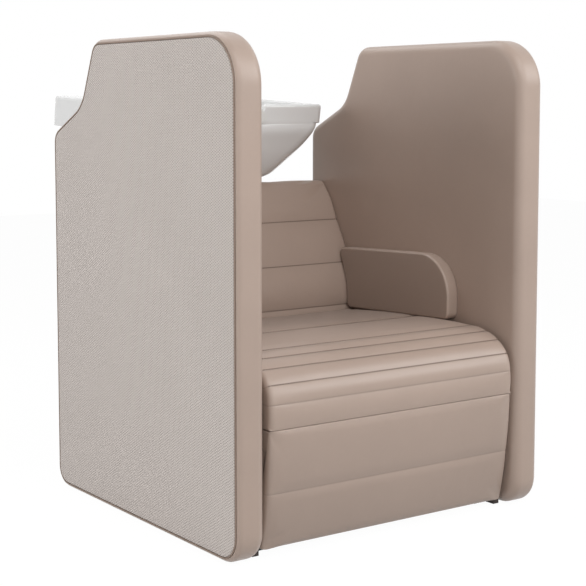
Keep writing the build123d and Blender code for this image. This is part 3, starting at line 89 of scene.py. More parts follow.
# How far each field of the seat swells, from the rear to the front
SEAT_SWELLS = (0.003, 0.003, 0.002, 0.0025, 0.003, 0.003, 0.0022)
APRON_SEAM = (0.0159, 0.1548)
BACK_SEAMS = [(0.665, 0.460), (0.690, 0.580), (0.7515, 0.700)]

# Outline of an armrest and its corner radii, then the rings of its side as (inset, distance from the wall)
ARM_CORNERS = [
    (0.2225, 0.4695), (0.661, 0.4525), (0.659, 0.52), (0.684, 0.583), (0.7035, 0.622), (0.2225, 0.640)
]
ARM_RADII = [0.017, 0.017, 0.2, 0.2, 0.017, 0.11]
ARM_STEP = 0.007
ARM_CELL = 0.010
ARM_SIDE = ((0.012, 0), (0.0, 0), (0.0, 0.012), (-0.001, 0.02))
ARM_BULGE = 0.001
ARM_EDGE = 0.0065
ARM_EDGE_STEPS = 6
ARM_SWELL = 0.003

# Rows of the basin's bowl in millimetres: distance below the rim, half width, front and rear reach,
# corner radius; the fuller outer face first, then the way back up inside the basin's own wall
BOWL_FULL = [
    (50, 301, 8.5, 428, 42), (65, 298.5, 7, 427, 46), (112, 281, 24, 421, 62), (165, 241, 48, 406, 78),
    (190, 220, 62, 392, 82), (206, 205, 73, 383, 84), (214.5, 192, 86, 372, 82),
]
BOWL_WALL = [
    (214.5, 161, 124, 341, 81), (200, 194, 82, 376, 86), (165, 221, 61, 401, 81), (112, 268, 36, 416, 66),
    (85, 286, 22, 421, 51), (50, 291, 12, 426, 41),
]
BOWL_STEP = 6.0
WALL_STEP = 12.0
# Below the neck notch the wall starts lower: how low, how wide and how far in, in millimetres
NOTCH_LOW = 57
NOTCH_HALF_WIDTH = 150
NOTCH_FADE = 40
NOTCH_REACH = 60
BASIN_ORIGIN = (0.710, 1.036)
BASIN_TILT = math.radians(2.8)
KICK_BOARD_BOTTOM = 0.020
FLOOR_REACH = 9.0


def length(name, default, description):
    """A size in metres that a user may change."""
    return FloatProperty(
        name=name, default=default, description=description, subtype="DISTANCE", unit="LENGTH"
    )


def colour(name, default, description):
    """A colour that a user may change."""
    return FloatVectorProperty(
        name=name, default=default, description=description, subtype="COLOR", size=3, min=0, max=1
    )


class WashBedSizes(bpy.types.PropertyGroup):
    """Sizes of the upholstery."""

    seat_half_width: length("Seat half width", 0.3735, "From the middle to the side of the seat cushion")
    back_half_width: length("Back half width", 0.3835, "From the middle to the side of the backrest")
    end_round: length("End rounding", 0.014, "How far the cover is drawn in at a cushion's ends")
    cell: length("Mesh cell", 0.0085, "Spacing of the cushion meshes")
    groove: length("Seam depth", 0.0014, "How far a sewn seam is pulled in")
    panel_swell: length("Panel swell", 0.003, "How far the padded faces of a side panel stand out")
    cover_inner_round: length("Inner edge radius", 0.026, "Rounding of a panel's edge on the seat side")
    cover_outer_round: length("Outer edge radius", 0.018, "Rounding of a panel's edge on the outer side")
    piping_radius: length("Piping radius", 0.0019, "Radius of the cord sewn round the outer fabric")
    stitch_pitch: length("Stitch pitch", 0.0075, "Distance from one stitch to the next")
    stitch_length: length("Stitch length", 0.0044, "Length of one stitch")
    stitch_radius: length("Stitch radius", 0.0010, "Half thickness of the thread")
    stitch_lift: length("Stitch lift", 0.0021, "How far the thread stands above the seam")
    weave_pitch: length("Weave pitch", 0.0056, "Distance between the cells of the outer fabric")
    grain_pitch: length("Grain pitch", 0.0011, "Size of the pebbles in the cover's grain")


class WashBedColours(bpy.types.PropertyGroup):
    """Colours of the finishes, in linear values."""

    cover: colour("Cover", (0.42, 0.322, 0.268), "Smooth cover of the seat, backrest and panels")
    fabric: colour("Outer fabric", (0.815, 0.75, 0.705), "Woven fabric on the outer faces")
    fabric_gap: colour("Fabric gaps", (0.30, 0.245, 0.22), "Shade between the cells of the weave")
    piping: colour("Piping", (0.27, 0.20, 0.16), "Cord round the outer fabric")
    thread: colour("Thread", (0.10, 0.065, 0.05), "Stitches")
    glaze: colour("Glaze", (0.80, 0.80, 0.795), "Basin")
    paper: colour("Backdrop", (0.62, 0.62, 0.62), "Floor and backdrop")


class WashBedStage(bpy.types.PropertyGroup):
    """Camera and lamps."""

    azimuth: FloatProperty(name="Azimuth", default=-35.304, description="Camera direction in degrees")
    pitch: FloatProperty(name="Pitch", default=5.305, description="How far the camera looks down, in degrees")
    lens: FloatProperty(name="Lens", default=87.65, description="Focal length in millimetres")
    shift: FloatProperty(name="Vertical shift", default=-0.1, description="Share of the picture's width")
    place: FloatVectorProperty(
        name="Place", default=(-2.1514, -3.2164, 1.0433), description="Camera position", size=3
    )
    key: FloatProperty(name="Front lamp", default=117.0, description="Power of the wide lamp in front")
    fill: FloatProperty(name="Side lamp", default=118.0, description="Power of the lamp at the left")
    right: FloatProperty(name="Right lamp", default=122.0, description="Power of the lamp at the right")
    top: FloatProperty(name="Top lamp", default=32.0, description="Power of the overhead lamp")
    rear: FloatProperty(name="Rear lamp", default=30.0, description="Power of the lamp high behind the basin")
    ambient: FloatProperty(name="Ambient", default=0.10, description="Strength of the light from all round")


# Shader writing


class Value:
    """A shader value; its operators add the nodes that work it out."""

    def __init__(self, shader, socket):
        self.shader = shader
        self.socket = socket

    def maths(self, operation, *others):
        inputs = {i: each for i, each in enumerate((self,) + others)}
        return self.shader.node("ShaderNodeMath", {"operation": operation}, inputs)

    def __add__(self, other):
        return self.maths("ADD", other)

    def __radd__(self, other):
        return self.maths("ADD", other)

    def __mul__(self, other):
        return self.maths("MULTIPLY", other)

    def clamp(self):
        return self.shader.node("ShaderNodeClamp", {}, {"Value": self})

    def output(self, name):
        return Value(self.shader, self.socket.node.outputs[name])


class Finish:
    """One material being written."""

    def __init__(self, name):
        self.material = bpy.data.materials.new(name)
        self.material.use_nodes = True
        self.tree = self.material.node_tree
        self.tree.nodes.clear()

    def node(self, kind, settings, inputs, output=0):
        """Add a node: its settings first, then the values or links of its sockets."""
        node = self.tree.nodes.new(kind)
        for key, value in settings.items():
            if key == "stops":
                for i, (place, shade) in enumerate(value):
                    stop = node.color_ramp.elements[i] if i < 2 else node.color_ramp.elements.new(place)
                    stop.position = place
                    stop.color = shade
            else:
                setattr(node, key, value)
        for key, value in inputs.items():
            socket = node.inputs[key]
            if isinstance(value, Value):
                self.tree.links.new(value.socket, socket)
            else:
                socket.default_value = value
        return Value(self, node.outputs[output])

    def place(self):
        """Object coordinates."""
        return self.node("ShaderNodeTexCoord", {}, {}, "Object")

    def parts(self, vector):
        """The three numbers of a vector."""
        split = self.node("ShaderNodeSeparateXYZ", {}, {0: vector})
        return split, split.output("Y"), split.output("Z")

    def noise(self, vector, scale, detail=3.0, roughness=0.5):
        return self.node(
            "ShaderNodeTexNoise", {},
            {"Vector": vector, "Scale": scale, "Detail": detail, "Roughness": roughness}, "Fac",
        )

    def mixed(self, factor, first, second):
        """A colour between two."""
        def full(shade):
            return shade if isinstance(shade, Value) else (*shade, 1.0)
        return self.node(
            "ShaderNodeMix", {"data_type": "RGBA"}, {0: factor, 6: full(first), 7: full(second)}, 2
        )

    def bump(self, height, strength, distance, under=None):
        inputs = {"Height": height, "Strength": strength, "Distance": distance}
        if under:
            inputs["Normal"] = under
        return self.node("ShaderNodeBump", {}, inputs)

    def surface(self, **inputs):
        """Finish with a Principled shader; keywords name its sockets with underscores."""
        sockets = {}
        for key, value in inputs.items():
            name = key.replace("_", " ")
            if name == "Base Color" and not isinstance(value, Value):
                value = (*value, 1.0)
            sockets[name] = value
        shader = self.node("ShaderNodeBsdfPrincipled", {}, sockets)
        end = self.tree.nodes.new("ShaderNodeOutputMaterial")
        self.tree.links.new(shader.socket, end.inputs["Surface"])
        return self.material


def shaded(shade, share):
    """A colour made lighter or darker."""
    return tuple(min(1.0, part * share) for part in shade)


def cover_finish():
    """Smooth upholstery cover: soft sheen, pebbled grain, faint creases, and painted shade from the seam
    attribute on seams and sheltered faces.
    """
    sizes = bpy.context.scene.wash_bed_sizes
    shade = tuple(bpy.context.scene.wash_bed_colours.cover)
    finish = Finish("cover")
    place = finish.place()
    cloudy = finish.noise(place, 5.0, 4.0)
    fine = finish.noise(place, 90.0, 3.0)
    tone = finish.mixed(cloudy, shaded(shade, 0.93), shaded(shade, 1.07))
    tone = finish.mixed(fine * 0.16, tone, shaded(shade, 1.2))
    # Painted shade: the seam attribute darkens the cover at the seam grooves, the armrests' inner faces, the
    # seat's rear and the apron's lower part.
    seam = finish.node("ShaderNodeAttribute", {"attribute_name": "seam"}, {}, "Fac")
    tone = finish.mixed((seam * 0.45).clamp(), tone, shaded(shade, 0.42))
    pebbles = finish.node(
        "ShaderNodeTexVoronoi", {"feature": "SMOOTH_F1"},
        {"Vector": place, "Scale": 1 / sizes.grain_pitch, "Smoothness": 0.6}, "Distance",
    )
    creases = finish.noise(place, 26.0, 5.0, 0.62)
    waves = finish.noise(place, 7.0, 2.0)
    normal = finish.bump(pebbles, 0.16, 0.0004)
    normal = finish.bump(creases, 0.3, 0.0012, normal)
    normal = finish.bump(waves, 0.3, 0.006, normal)
    rough = 0.33 + fine * 0.1
    return finish.surface(
        Base_Color=tone, Roughness=rough, Specular_IOR_Level=0.5, Sheen_Weight=0.1,
        Sheen_Roughness=0.4, Normal=normal,
    )


def fabric_finish():
    """Woven outer fabric: a pattern of staggered oval cells, with painted shade in the darker gaps between
    them.
    """
    sizes = bpy.context.scene.wash_bed_sizes
    colours = bpy.context.scene.wash_bed_colours
    finish = Finish("outer_fabric")
    place = finish.place()
    wobble = finish.noise(place, 60.0, 2.0)
    split, across, up = finish.parts(place)
    turns = 2 * math.pi / sizes.weave_pitch
    drift = wobble * 0.9
    column = (across * (turns * 0.5) + drift).maths("COSINE")
    row = (up * (turns * 0.86) + drift).maths("COSINE")
    cells = column * row
    cells = (cells * 0.5 + 0.5).clamp()
    second = (across * (turns * 0.5) + drift).maths("SINE") * (up * (turns * 0.86) + drift).maths("SINE")
    threads = (across * (turns * 4.0) + up * (turns * 2.0)).maths("SINE") * 0.5 + 0.5
    crest = (cells.maths("POWER", 0.6) * 0.75 + threads * 0.12 + second.maths("ABSOLUTE") * 0.2).clamp()
    cloudy = finish.noise(place, 4.0, 3.0)
    light = finish.mixed(cloudy, shaded(tuple(colours.fabric), 0.95), shaded(tuple(colours.fabric), 1.05))
    # Painted shade: the gaps of the weave pattern take the darker fabric_gap colour.
    tone = finish.mixed(crest, tuple(colours.fabric_gap), light)
    normal = finish.bump(crest, 0.8, 0.0014)
    return finish.surface(
        Base_Color=tone, Roughness=0.86, Specular_IOR_Level=0.25, Sheen_Weight=0.2, Sheen_Roughness=0.5,
        Normal=normal,
    )


def thread_finish(name, shade, twist):
    """Twisted thread or covered cord."""
    finish = Finish(name)
    place = finish.place()
    lay = finish.noise(place, twist, 2.0)
    tone = finish.mixed(lay, shaded(shade, 0.8), shaded(shade, 1.25))
    return finish.surface(
        Base_Color=tone, Roughness=0.6, Specular_IOR_Level=0.35, Normal=finish.bump(lay, 0.3, 0.0004)
    )


def glaze_finish():
    """Fired white glaze: glossy, with a faint ripple."""
    shade = tuple(bpy.context.scene.wash_bed_colours.glaze)
    finish = Finish("glaze")
    place = finish.place()
    cloud = finish.noise(place, 6.0, 2.0)
    tone = finish.mixed(cloud, shaded(shade, 0.985), shade)
    ripple = finish.noise(place, 22.0, 1.0)
    return finish.surface(
        Base_Color=tone, Roughness=0.16 + cloud * 0.05, Specular_IOR_Level=0.5, Coat_Weight=0.5,
        Coat_Roughness=0.05, Normal=finish.bump(ripple, 0.05, 0.002),
    )


def moulded_finish(name, shade, rough, grain, metal=0.0, specks=0.1):
    """A cast, moulded or coated finish with its own grain and slight mottling."""
    finish = Finish(name)
    place = finish.place()
    mottle = finish.noise(place, grain, 4.0)
    broad = finish.noise(place, 9.0, 2.0)
    tone = finish.mixed(mottle, shaded(shade, 1 - specks), shaded(shade, 1 + specks))
    return finish.surface(
        Base_Color=tone, Roughness=rough + broad * 0.1, Metallic=metal,
        Normal=finish.bump(mottle, 0.12, 0.0004),
    )


def plywood_finish():
    """Birch plywood: long grain with a few darker streaks."""
    finish = Finish("plywood")
    place = finish.place()
    long_grain = finish.node("ShaderNodeMapping", {}, {"Vector": place, "Scale": (60.0, 6.0, 60.0)})
    grain = finish.noise(long_grain, 1.0, 6.0, 0.6)
    streaks = finish.noise(long_grain, 0.3, 2.0)
    tone = finish.mixed(grain, (0.42, 0.27, 0.15), (0.62, 0.44, 0.27))
    tone = finish.mixed(streaks * 0.4, tone, (0.32, 0.19, 0.10))
    return finish.surface(Base_Color=tone, Roughness=0.62, Normal=finish.bump(grain, 0.2, 0.0006))


# Mesh building


def new_piece(name, points, faces, material, smooth=True):
    """A mesh object in the scene, at the origin."""
    mesh = bpy.data.meshes.new(name)
    mesh.from_pydata([tuple(map(float, p)) for p in points], [], faces)
    mesh.validate()
    mesh.update()
    mesh.shade_smooth() if smooth else mesh.shade_flat()
    piece = bpy.data.objects.new(name, mesh)
    bpy.context.scene.collection.objects.link(piece)
    if material:
        mesh.materials.append(material)
    return piece


def opposite(points, faces):
    """The same mesh on the other side of the middle."""
    turned = [(-x, y, z) for x, y, z in points]
    return turned, [tuple(reversed(face)) for face in faces]


def turned_outwards(piece):
    """Point all faces outwards."""
    work = bmesh.new()
    work.from_mesh(piece.data)
    bmesh.ops.remove_doubles(work, verts=work.verts, dist=1e-6)
    bmesh.ops.recalc_face_normals(work, faces=work.faces)
    work.to_mesh(piece.data)
    work.free()
    piece.data.update()


def arc_points(start, end, swell, step, near=None):
    """Points from start towards end along an arc that swells to the right; end is left out."""
    start = np.array(start, float)
    end = np.array(end, float)
    run = end - start
    size = float(np.hypot(*run))
    side = np.array((run[1], -run[0])) / size
    count = max(2, int(round(size / step)))
    shares = list(np.linspace(0, 1, count + 1)[:-1])
    if near and size > near * 5:
        shares = [0.0, near / size] + [s for s in shares if near * 1.8 / size < s < 1 - near * 1.8 / size]
        shares.append(1 - near / size)
    return [start + run * s + side * swell * 4 * s * (1 - s) for s in shares]


def rounded_outline(corners, radii, step):
    """Points along a closed outline whose corners are rounded, and the normals that point outwards."""
    count = len(corners)
    points = []
    for i in range(count):
        corner = np.array(corners[i], float)
        back = np.array(corners[i - 1], float) - corner
        ahead = np.array(corners[(i + 1) % count], float) - corner
        back /= np.hypot(*back)
        ahead /= np.hypot(*ahead)
        half = math.acos(max(-1.0, min(1.0, float(back @ ahead)))) / 2
        reach = radii[i] / math.tan(half)
        middle = back + ahead
        centre = corner + middle / np.hypot(*middle) * radii[i] / math.sin(half)
        start = corner + back * reach - centre
        end = corner + ahead * reach - centre
        sweep = math.atan2(start[0] * end[1] - start[1] * end[0], float(start @ end))
        steps = max(3, int(abs(sweep) * radii[i] / step * 1.6))
        for k in range(steps + 1):
            turn = sweep * k / steps
            c, s = math.cos(turn), math.sin(turn)
            points.append(centre + np.array((c * start[0] - s * start[1], s * start[0] + c * start[1])))
    filled = []
    for i, point in enumerate(points):
        ahead = points[(i + 1) % len(points)]
        gap = float(np.hypot(*(ahead - point)))
        pieces = max(1, int(gap / step)) if gap > 1e-6 else 0
        filled += [point + (ahead - point) * k / pieces for k in range(pieces)]
    filled = np.array(filled)
    tangent = np.roll(filled, -1, 0) - np.roll(filled, 1, 0)
    tangent /= np.hypot(tangent[:, 0], tangent[:, 1])[:, None]
    return filled, np.stack((tangent[:, 1], -tangent[:, 0]), 1)


def inside(points, polygon):
    """Which points lie inside a polygon."""
    x, y = points[:, 0], points[:, 1]
    held = np.zeros(len(points), bool)
    for (ax, ay), (bx, by) in zip(polygon, np.roll(polygon, -1, 0)):
        crosses = (ay > y) != (by > y)
        with np.errstate(divide="ignore", invalid="ignore"):
            held ^= crosses & (x < (bx - ax) * (y - ay) / (by - ay) + ax)
    return held


def rounded_ring(half, front, rear, radius):
    """Points round a rounded rectangle, the same count for every size."""
    points = []
    centres = ((half, front, -1, 1), (half, rear, -1, -1), (-half, rear, 1, -1), (-half, front, 1, 1))
    for corner, (x, reach, inward_x, inward_y) in enumerate(centres):
        for k in range(9):
            turn = math.pi / 2 * (corner - 1 + k / 8)
            middle = (x + inward_x * radius, reach + inward_y * radius)
            points.append((middle[0] + radius * math.cos(turn), middle[1] + radius * math.sin(turn)))
    filled = []
    for i, point in enumerate(points):
        ahead = points[(i + 1) % len(points)]
        pieces = 8 if i % 9 == 8 else 1
        for k in range(pieces):
            filled.append(tuple(a + (b - a) * k / pieces for a, b in zip(point, ahead)))
    return filled


def eased_rows(rows, step):
    """Rows in between, on a smooth curve through the given ones; the first number is the distance."""
    table = np.array(rows, float)
    places = table[:, 0]
    slopes = np.gradient(table, places, axis=0)
    eased = []
    for i in range(len(rows) - 1):
        gap = places[i + 1] - places[i]
        count = max(1, int(abs(gap) / step))
        for k in range(count):
            t = k / count
            blend = t * t * (3 - 2 * t)
            bend = (t ** 3 - 2 * t * t + t) * slopes[i] + (t ** 3 - t * t) * slopes[i + 1]
            eased.append(table[i] * (1 - blend) + table[i + 1] * blend + gap * bend)
    return eased + [table[-1]]


def padded_plate(outline, normals, rings, level, spacing):
    """Points and faces of a padded face: rings of (inset, x) round the outline, then a filled middle.

    level gives the middle's x from the distance to the last ring.
    """
    points = []
    for inset, x in rings:
        ring = outline - normals * inset
        points += [(x, FRONT + depth, height) for depth, height in ring]
    count = len(outline)
    faces = []
    for r in range(len(rings) - 1):
        for i in range(count):
            j = (i + 1) % count
            faces.append((r * count + i, r * count + j, (r + 1) * count + j, (r + 1) * count + i))
    last = outline - normals * rings[-1][0]
    low, high = last.min(0), last.max(0)
    columns = np.arange(low[0] + spacing / 2, high[0], spacing)
    rows = np.arange(low[1] + spacing / 2, high[1], spacing)
    grid = np.array([(c + (k % 2) * spacing / 2, r) for k, r in enumerate(rows) for c in columns])
    grid = grid[inside(grid, last)]
    away = np.array([np.hypot(*(last - g).T).min() for g in grid])
    grid, away = grid[away > spacing * 0.55], away[away > spacing * 0.55]
    flat = [Vector(p) for p in last] + [Vector(p) for p in grid]
    loop = [(i, (i + 1) % count) for i in range(count)]
    _, _, triangles, origins, _, _ = delaunay_2d_cdt(flat, loop, [], 1, 1e-7)
    start = (len(rings) - 1) * count
    points += [(level(a), FRONT + g[0], g[1]) for g, a in zip(grid, away)]
    place = [start + o[0] for o in origins]
    for triangle in triangles:
        faces.append(tuple(place[v] for v in triangle))
    return points, faces


def cushion(name, profile, held, seams, half, material):
    """A cushion whose profile runs along X, rounded at both ends.

    held marks the points that rest on something, seams the ones that are sewn down.
    """
    sizes = bpy.context.scene.wash_bed_sizes
    profile = np.array(profile)
    tangent = np.roll(profile, -1, 0) - np.roll(profile, 1, 0)
    tangent /= np.hypot(tangent[:, 0], tangent[:, 1])[:, None]
    normals = np.stack((tangent[:, 1], -tangent[:, 0]), 1)
    count = len(profile)
    middle = profile.mean(0)
    turn = sizes.end_round
    body = np.linspace(0, half - turn, int((half - turn) / sizes.cell) + 1)
    ends = [half - turn + turn * math.sin(a) for a in np.linspace(0, math.pi / 2, 7)[1:]]
    right = list(body) + ends
    stations = [-x for x in right[:0:-1]] + right
    points, painted_seam_shade, pins = [], [], []
    for x in stations:
        past = max(0.0, (abs(x) - (half - turn)) / turn)
        draw = turn * (1 - math.sqrt(max(0.0, 1 - past * past)))
        for k in range(count):
            pull = draw * (0.15 if held[k] else 1.0)
            if seams[k]:
                pull += sizes.groove
            depth, height = profile[k] - normals[k] * pull
            points.append((x, FRONT + depth, height))
            painted_seam_shade.append(1.0 if seams[k] else 0.0)
            pins.append(1.0 if seams[k] or held[k] or past > 0.55 else 0.0)
    faces = []
    rows = len(stations)
    for r in range(rows - 1):
        for k in range(count):
            j = (k + 1) % count
            faces.append((r * count + k, (r + 1) * count + k, (r + 1) * count + j, r * count + j))
    for edge, x in ((0, stations[0]), (rows - 1, stations[-1])):
        ring = list(range(edge * count, (edge + 1) * count))
        for share in (0.7, 0.35):
            inner = []
            for index in ring:
                base = points[index - ring[0] + edge * count]
                inner.append(len(points))
                y = base[1] + (FRONT + middle[0] - base[1]) * (1 - share)
                z = base[2] + (middle[1] - base[2]) * (1 - share)
                points.append((x, y, z))
                painted_seam_shade.append(0.0)
                pins.append(1.0)
            for k in range(count):
                j = (k + 1) % count
                quad = (ring[k], ring[j], inner[j], inner[k])
                faces.append(quad if edge else tuple(reversed(quad)))
            ring = inner
        points.append((x, FRONT + middle[0], middle[1]))
        painted_seam_shade.append(0.0)
        pins.append(1.0)
        for k in range(count):
            triangle = (ring[k], ring[(k + 1) % count], len(points) - 1)
            faces.append(triangle if edge else tuple(reversed(triangle)))
    piece = new_piece(name, points, faces, material)
    turned_outwards(piece)
    mesh = piece.data
    # The seam attribute holds painted shade: 1 on the sewn seams, which darkens the cover's colour there.
    sewn = mesh.attributes.new("seam", "FLOAT", "POINT")
    sewn.data.foreach_set("value", np.array(painted_seam_shade, np.float32))
    group = piece.vertex_groups.new(name="held")
    for index, weight in enumerate(pins):
        if weight:
            group.add([index], weight, "REPLACE")
    paths = []
    for k in range(count):
        if seams[k]:
            rows_there = [r for r in range(rows) if abs(stations[r]) < half - turn * 0.4]
            lift = Vector((0, *normals[k])) * sizes.stitch_lift
            paths.append([Vector(points[r * count + k]) + lift for r in rows_there])
    return piece, paths


def inflated(piece, pressure, cap):
    """Let the cover swell between its held points under air pressure, each point by at most cap."""
    cloth = piece.modifiers.new("swell", "CLOTH")
    settings = cloth.settings
    settings.quality = 6
    settings.mass = 0.3
    settings.tension_stiffness = 20
    settings.compression_stiffness = 20
    settings.shear_stiffness = 8
    settings.bending_stiffness = 0.6
    settings.use_pressure = True
    settings.uniform_pressure_force = pressure
    settings.vertex_group_mass = "held"
    settings.effector_weights.gravity = 0
    scene = bpy.context.scene
    for step in range(1, 21):
        scene.frame_set(step)
        bpy.context.view_layer.update()
    shaped = piece.evaluated_get(bpy.context.evaluated_depsgraph_get())
    count = len(piece.data.vertices)
    after = np.zeros(count * 3, np.float32)
    before = np.zeros(count * 3, np.float32)
    shaped.data.vertices.foreach_get("co", after)
    piece.data.vertices.foreach_get("co", before)
    scene.frame_set(1)
    piece.modifiers.remove(cloth)
    move = (after - before).reshape(-1, 3)
    size = np.linalg.norm(move, axis=1)
    share = np.where(size > cap, cap / np.maximum(size, 1e-9), 1.0)
    piece.data.vertices.foreach_set("co", (before.reshape(-1, 3) + move * share[:, None]).ravel())
    piece.data.update()


def shade_where(piece, share):
    """Paint shade into a cover's colour where share(x, y, z) asks for it, as deep folds and sheltered faces
    would be shaded; the amount goes into the seam attribute.
    """
    marks = piece.data.attributes["seam"].data
    for mark, vertex in zip(marks, piece.data.vertices):
        mark.value = max(mark.value, float(share(*vertex.co)))


def seat_painted_shade(x, y, z):
    """Painted shade on the seat's top: darker towards the backrest."""
    return 0.8 * min(1.0, max(0.0, (y - FRONT - 0.2) / 0.26)) if z > 0.4 else 0


def apron_painted_shade(x, y, z):
    """Painted shade on the apron: darker towards the floor."""
    return 0.15 + 0.5 * max(0.0, 1 - z / 0.3)


def refined(piece):
    """One level of subdivision."""
    finer = piece.modifiers.new("finer", "SUBSURF")
    finer.levels = 1
    finer.render_levels = 1
    return piece


def stitches(name, paths, material):
    """Thread laid along paths: a node tree puts one short stitch at each pitch."""
    sizes = bpy.context.scene.wash_bed_sizes
    line = bpy.data.curves.new(name + "_path", "CURVE")
    line.dimensions = "3D"
    for path in paths:
        spline = line.splines.new("POLY")
        spline.points.add(len(path) - 1)
        for point, where in zip(spline.points, path):
            point.co = (*where, 1.0)
    holder = bpy.data.objects.new(name + "_path", line)
    bpy.context.scene.collection.objects.link(holder)
    tree = bpy.data.node_groups.new("stitch_row", "GeometryNodeTree")
    face = tree.interface
    face.new_socket(name="Geometry", in_out="INPUT", socket_type="NodeSocketGeometry")
    for label in ("Pitch", "Length", "Radius"):
        face.new_socket(name=label, in_out="INPUT", socket_type="NodeSocketFloat")
    face.new_socket(name="Thread", in_out="INPUT", socket_type="NodeSocketMaterial")
    face.new_socket(name="Geometry", in_out="OUTPUT", socket_type="NodeSocketGeometry")
    add, join = tree.nodes.new, tree.links.new
    start, end = add("NodeGroupInput"), add("NodeGroupOutput")
    along = add("GeometryNodeCurveToPoints")
    along.mode = "LENGTH"
    lie = add("FunctionNodeAlignRotationToVector")
    lie.axis = "X"
    grain = add("GeometryNodeMeshUVSphere")
    grain.inputs["Segments"].default_value = 6
    grain.inputs["Rings"].default_value = 4
    grain.inputs["Radius"].default_value = 0.5
    size = add("ShaderNodeCombineXYZ")
    thick = add("ShaderNodeMath")
    thick.operation = "MULTIPLY"
    thick.inputs[1].default_value = 2.0
    each = add("GeometryNodeInstanceOnPoints")
    solid = add("GeometryNodeRealizeInstances")
    coat = add("GeometryNodeSetMaterial")
    join(start.outputs["Geometry"], along.inputs["Curve"])
    join(start.outputs["Pitch"], along.inputs["Length"])
    join(along.outputs["Points"], each.inputs["Points"])
    join(along.outputs["Tangent"], lie.inputs["Vector"])
    join(lie.outputs["Rotation"], each.inputs["Rotation"])
    join(grain.outputs["Mesh"], each.inputs["Instance"])
    join(start.outputs["Length"], size.inputs["X"])
    join(start.outputs["Radius"], thick.inputs[0])
    join(thick.outputs[0], size.inputs["Y"])
    join(thick.outputs[0], size.inputs["Z"])
    join(size.outputs["Vector"], each.inputs["Scale"])
    join(each.outputs["Instances"], solid.inputs["Geometry"])
    join(solid.outputs["Geometry"], coat.inputs["Geometry"])
    join(start.outputs["Thread"], coat.inputs["Material"])
    join(coat.outputs["Geometry"], end.inputs["Geometry"])
    sew = holder.modifiers.new("sew", "NODES")
    sew.node_group = tree
    wanted = {
        "Pitch": sizes.stitch_pitch, "Length": sizes.stitch_length, "Radius": sizes.stitch_radius,
        "Thread": material,
    }
    for item in face.items_tree:
        if item.in_out == "INPUT" and item.name in wanted:
            sew[item.identifier] = wanted[item.name]
    bpy.context.view_layer.update()
    shaped = holder.evaluated_get(bpy.context.evaluated_depsgraph_get())
    mesh = bpy.data.meshes.new_from_object(shaped)
    bpy.data.objects.remove(holder)
    piece = bpy.data.objects.new(name, mesh)
    bpy.context.scene.collection.objects.link(piece)
    if not mesh.materials:
        mesh.materials.append(material)
    if not len(mesh.vertices):
        raise RuntimeError(f"{name} came out empty")
    return piece


def finish_of(name, maker):
    """A material by name, made the first time it is asked for."""
    return bpy.data.materials.get(name) or maker()


def cover_material():
    return finish_of("cover", cover_finish)


def add_swell(rows):
    """A closed profile from rows of (point, swell to the next point, rests, sewn)."""
    cell = bpy.context.scene.wash_bed_sizes.cell
    profile, held, seams = [], [], []
    for i, (start, swell, rests, sewn) in enumerate(rows):
        end = rows[(i + 1) % len(rows)][0]
        side = arc_points(start, end, swell, cell, near=0.0016)
        profile += side
        held += [rests] * len(side)
        seams += [sewn] + [False] * (len(side) - 1)
    return profile, held, seams


class WashBedPanels(bpy.types.Operator):
    """Padded covers of both side panels"""

    bl_idname = "wash_bed.panels"
    bl_label = "Side panel covers"

    def execute(self, context):
        sizes = context.scene.wash_bed_sizes
        outline, normals = rounded_outline(PANEL_CORNERS, PANEL_RADII, PANEL_STEP)
        low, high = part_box("right_panel_cover")
        inner, outer = low.x, high.x
        round_in, round_out = sizes.cover_inner_round, sizes.cover_outer_round
        rings = [(inset, outer - deep) for inset, deep in POCKET]
        start = math.asin(1 - POCKET_LIP / round_out)
        for k in range(ROUND_STEPS):
            turn = start + (math.pi / 2 - start) * k / (ROUND_STEPS - 1)
            rings.append((round_out * (1 - math.sin(turn)), outer - round_out * (1 - math.cos(turn))))
        rings.append((0.0, (inner + outer) / 2 + COVER_MIDDLE))
        for k in range(ROUND_STEPS):
            turn = math.pi / 2 * k / (ROUND_STEPS - 1)
            rings.append((round_in * (1 - math.cos(turn)), inner + round_in * (1 - math.sin(turn))))

        def level(away):
            return inner - sizes.panel_swell * (1 - math.exp(-away / 0.05))

        points, faces = padded_plate(outline, normals, rings, level, PANEL_CELL)
        faces.append(tuple(range(len(outline))))
        for side, shape in (("right", (points, faces)), ("left", opposite(points, faces))):
            piece = new_piece(side + "_cover", *shape, cover_material())
            turned_outwards(piece)
            piece.data.attributes.new("seam", "FLOAT", "POINT")
            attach(piece, "frame")
            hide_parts(side + "_panel_cover")
        return {"FINISHED"}


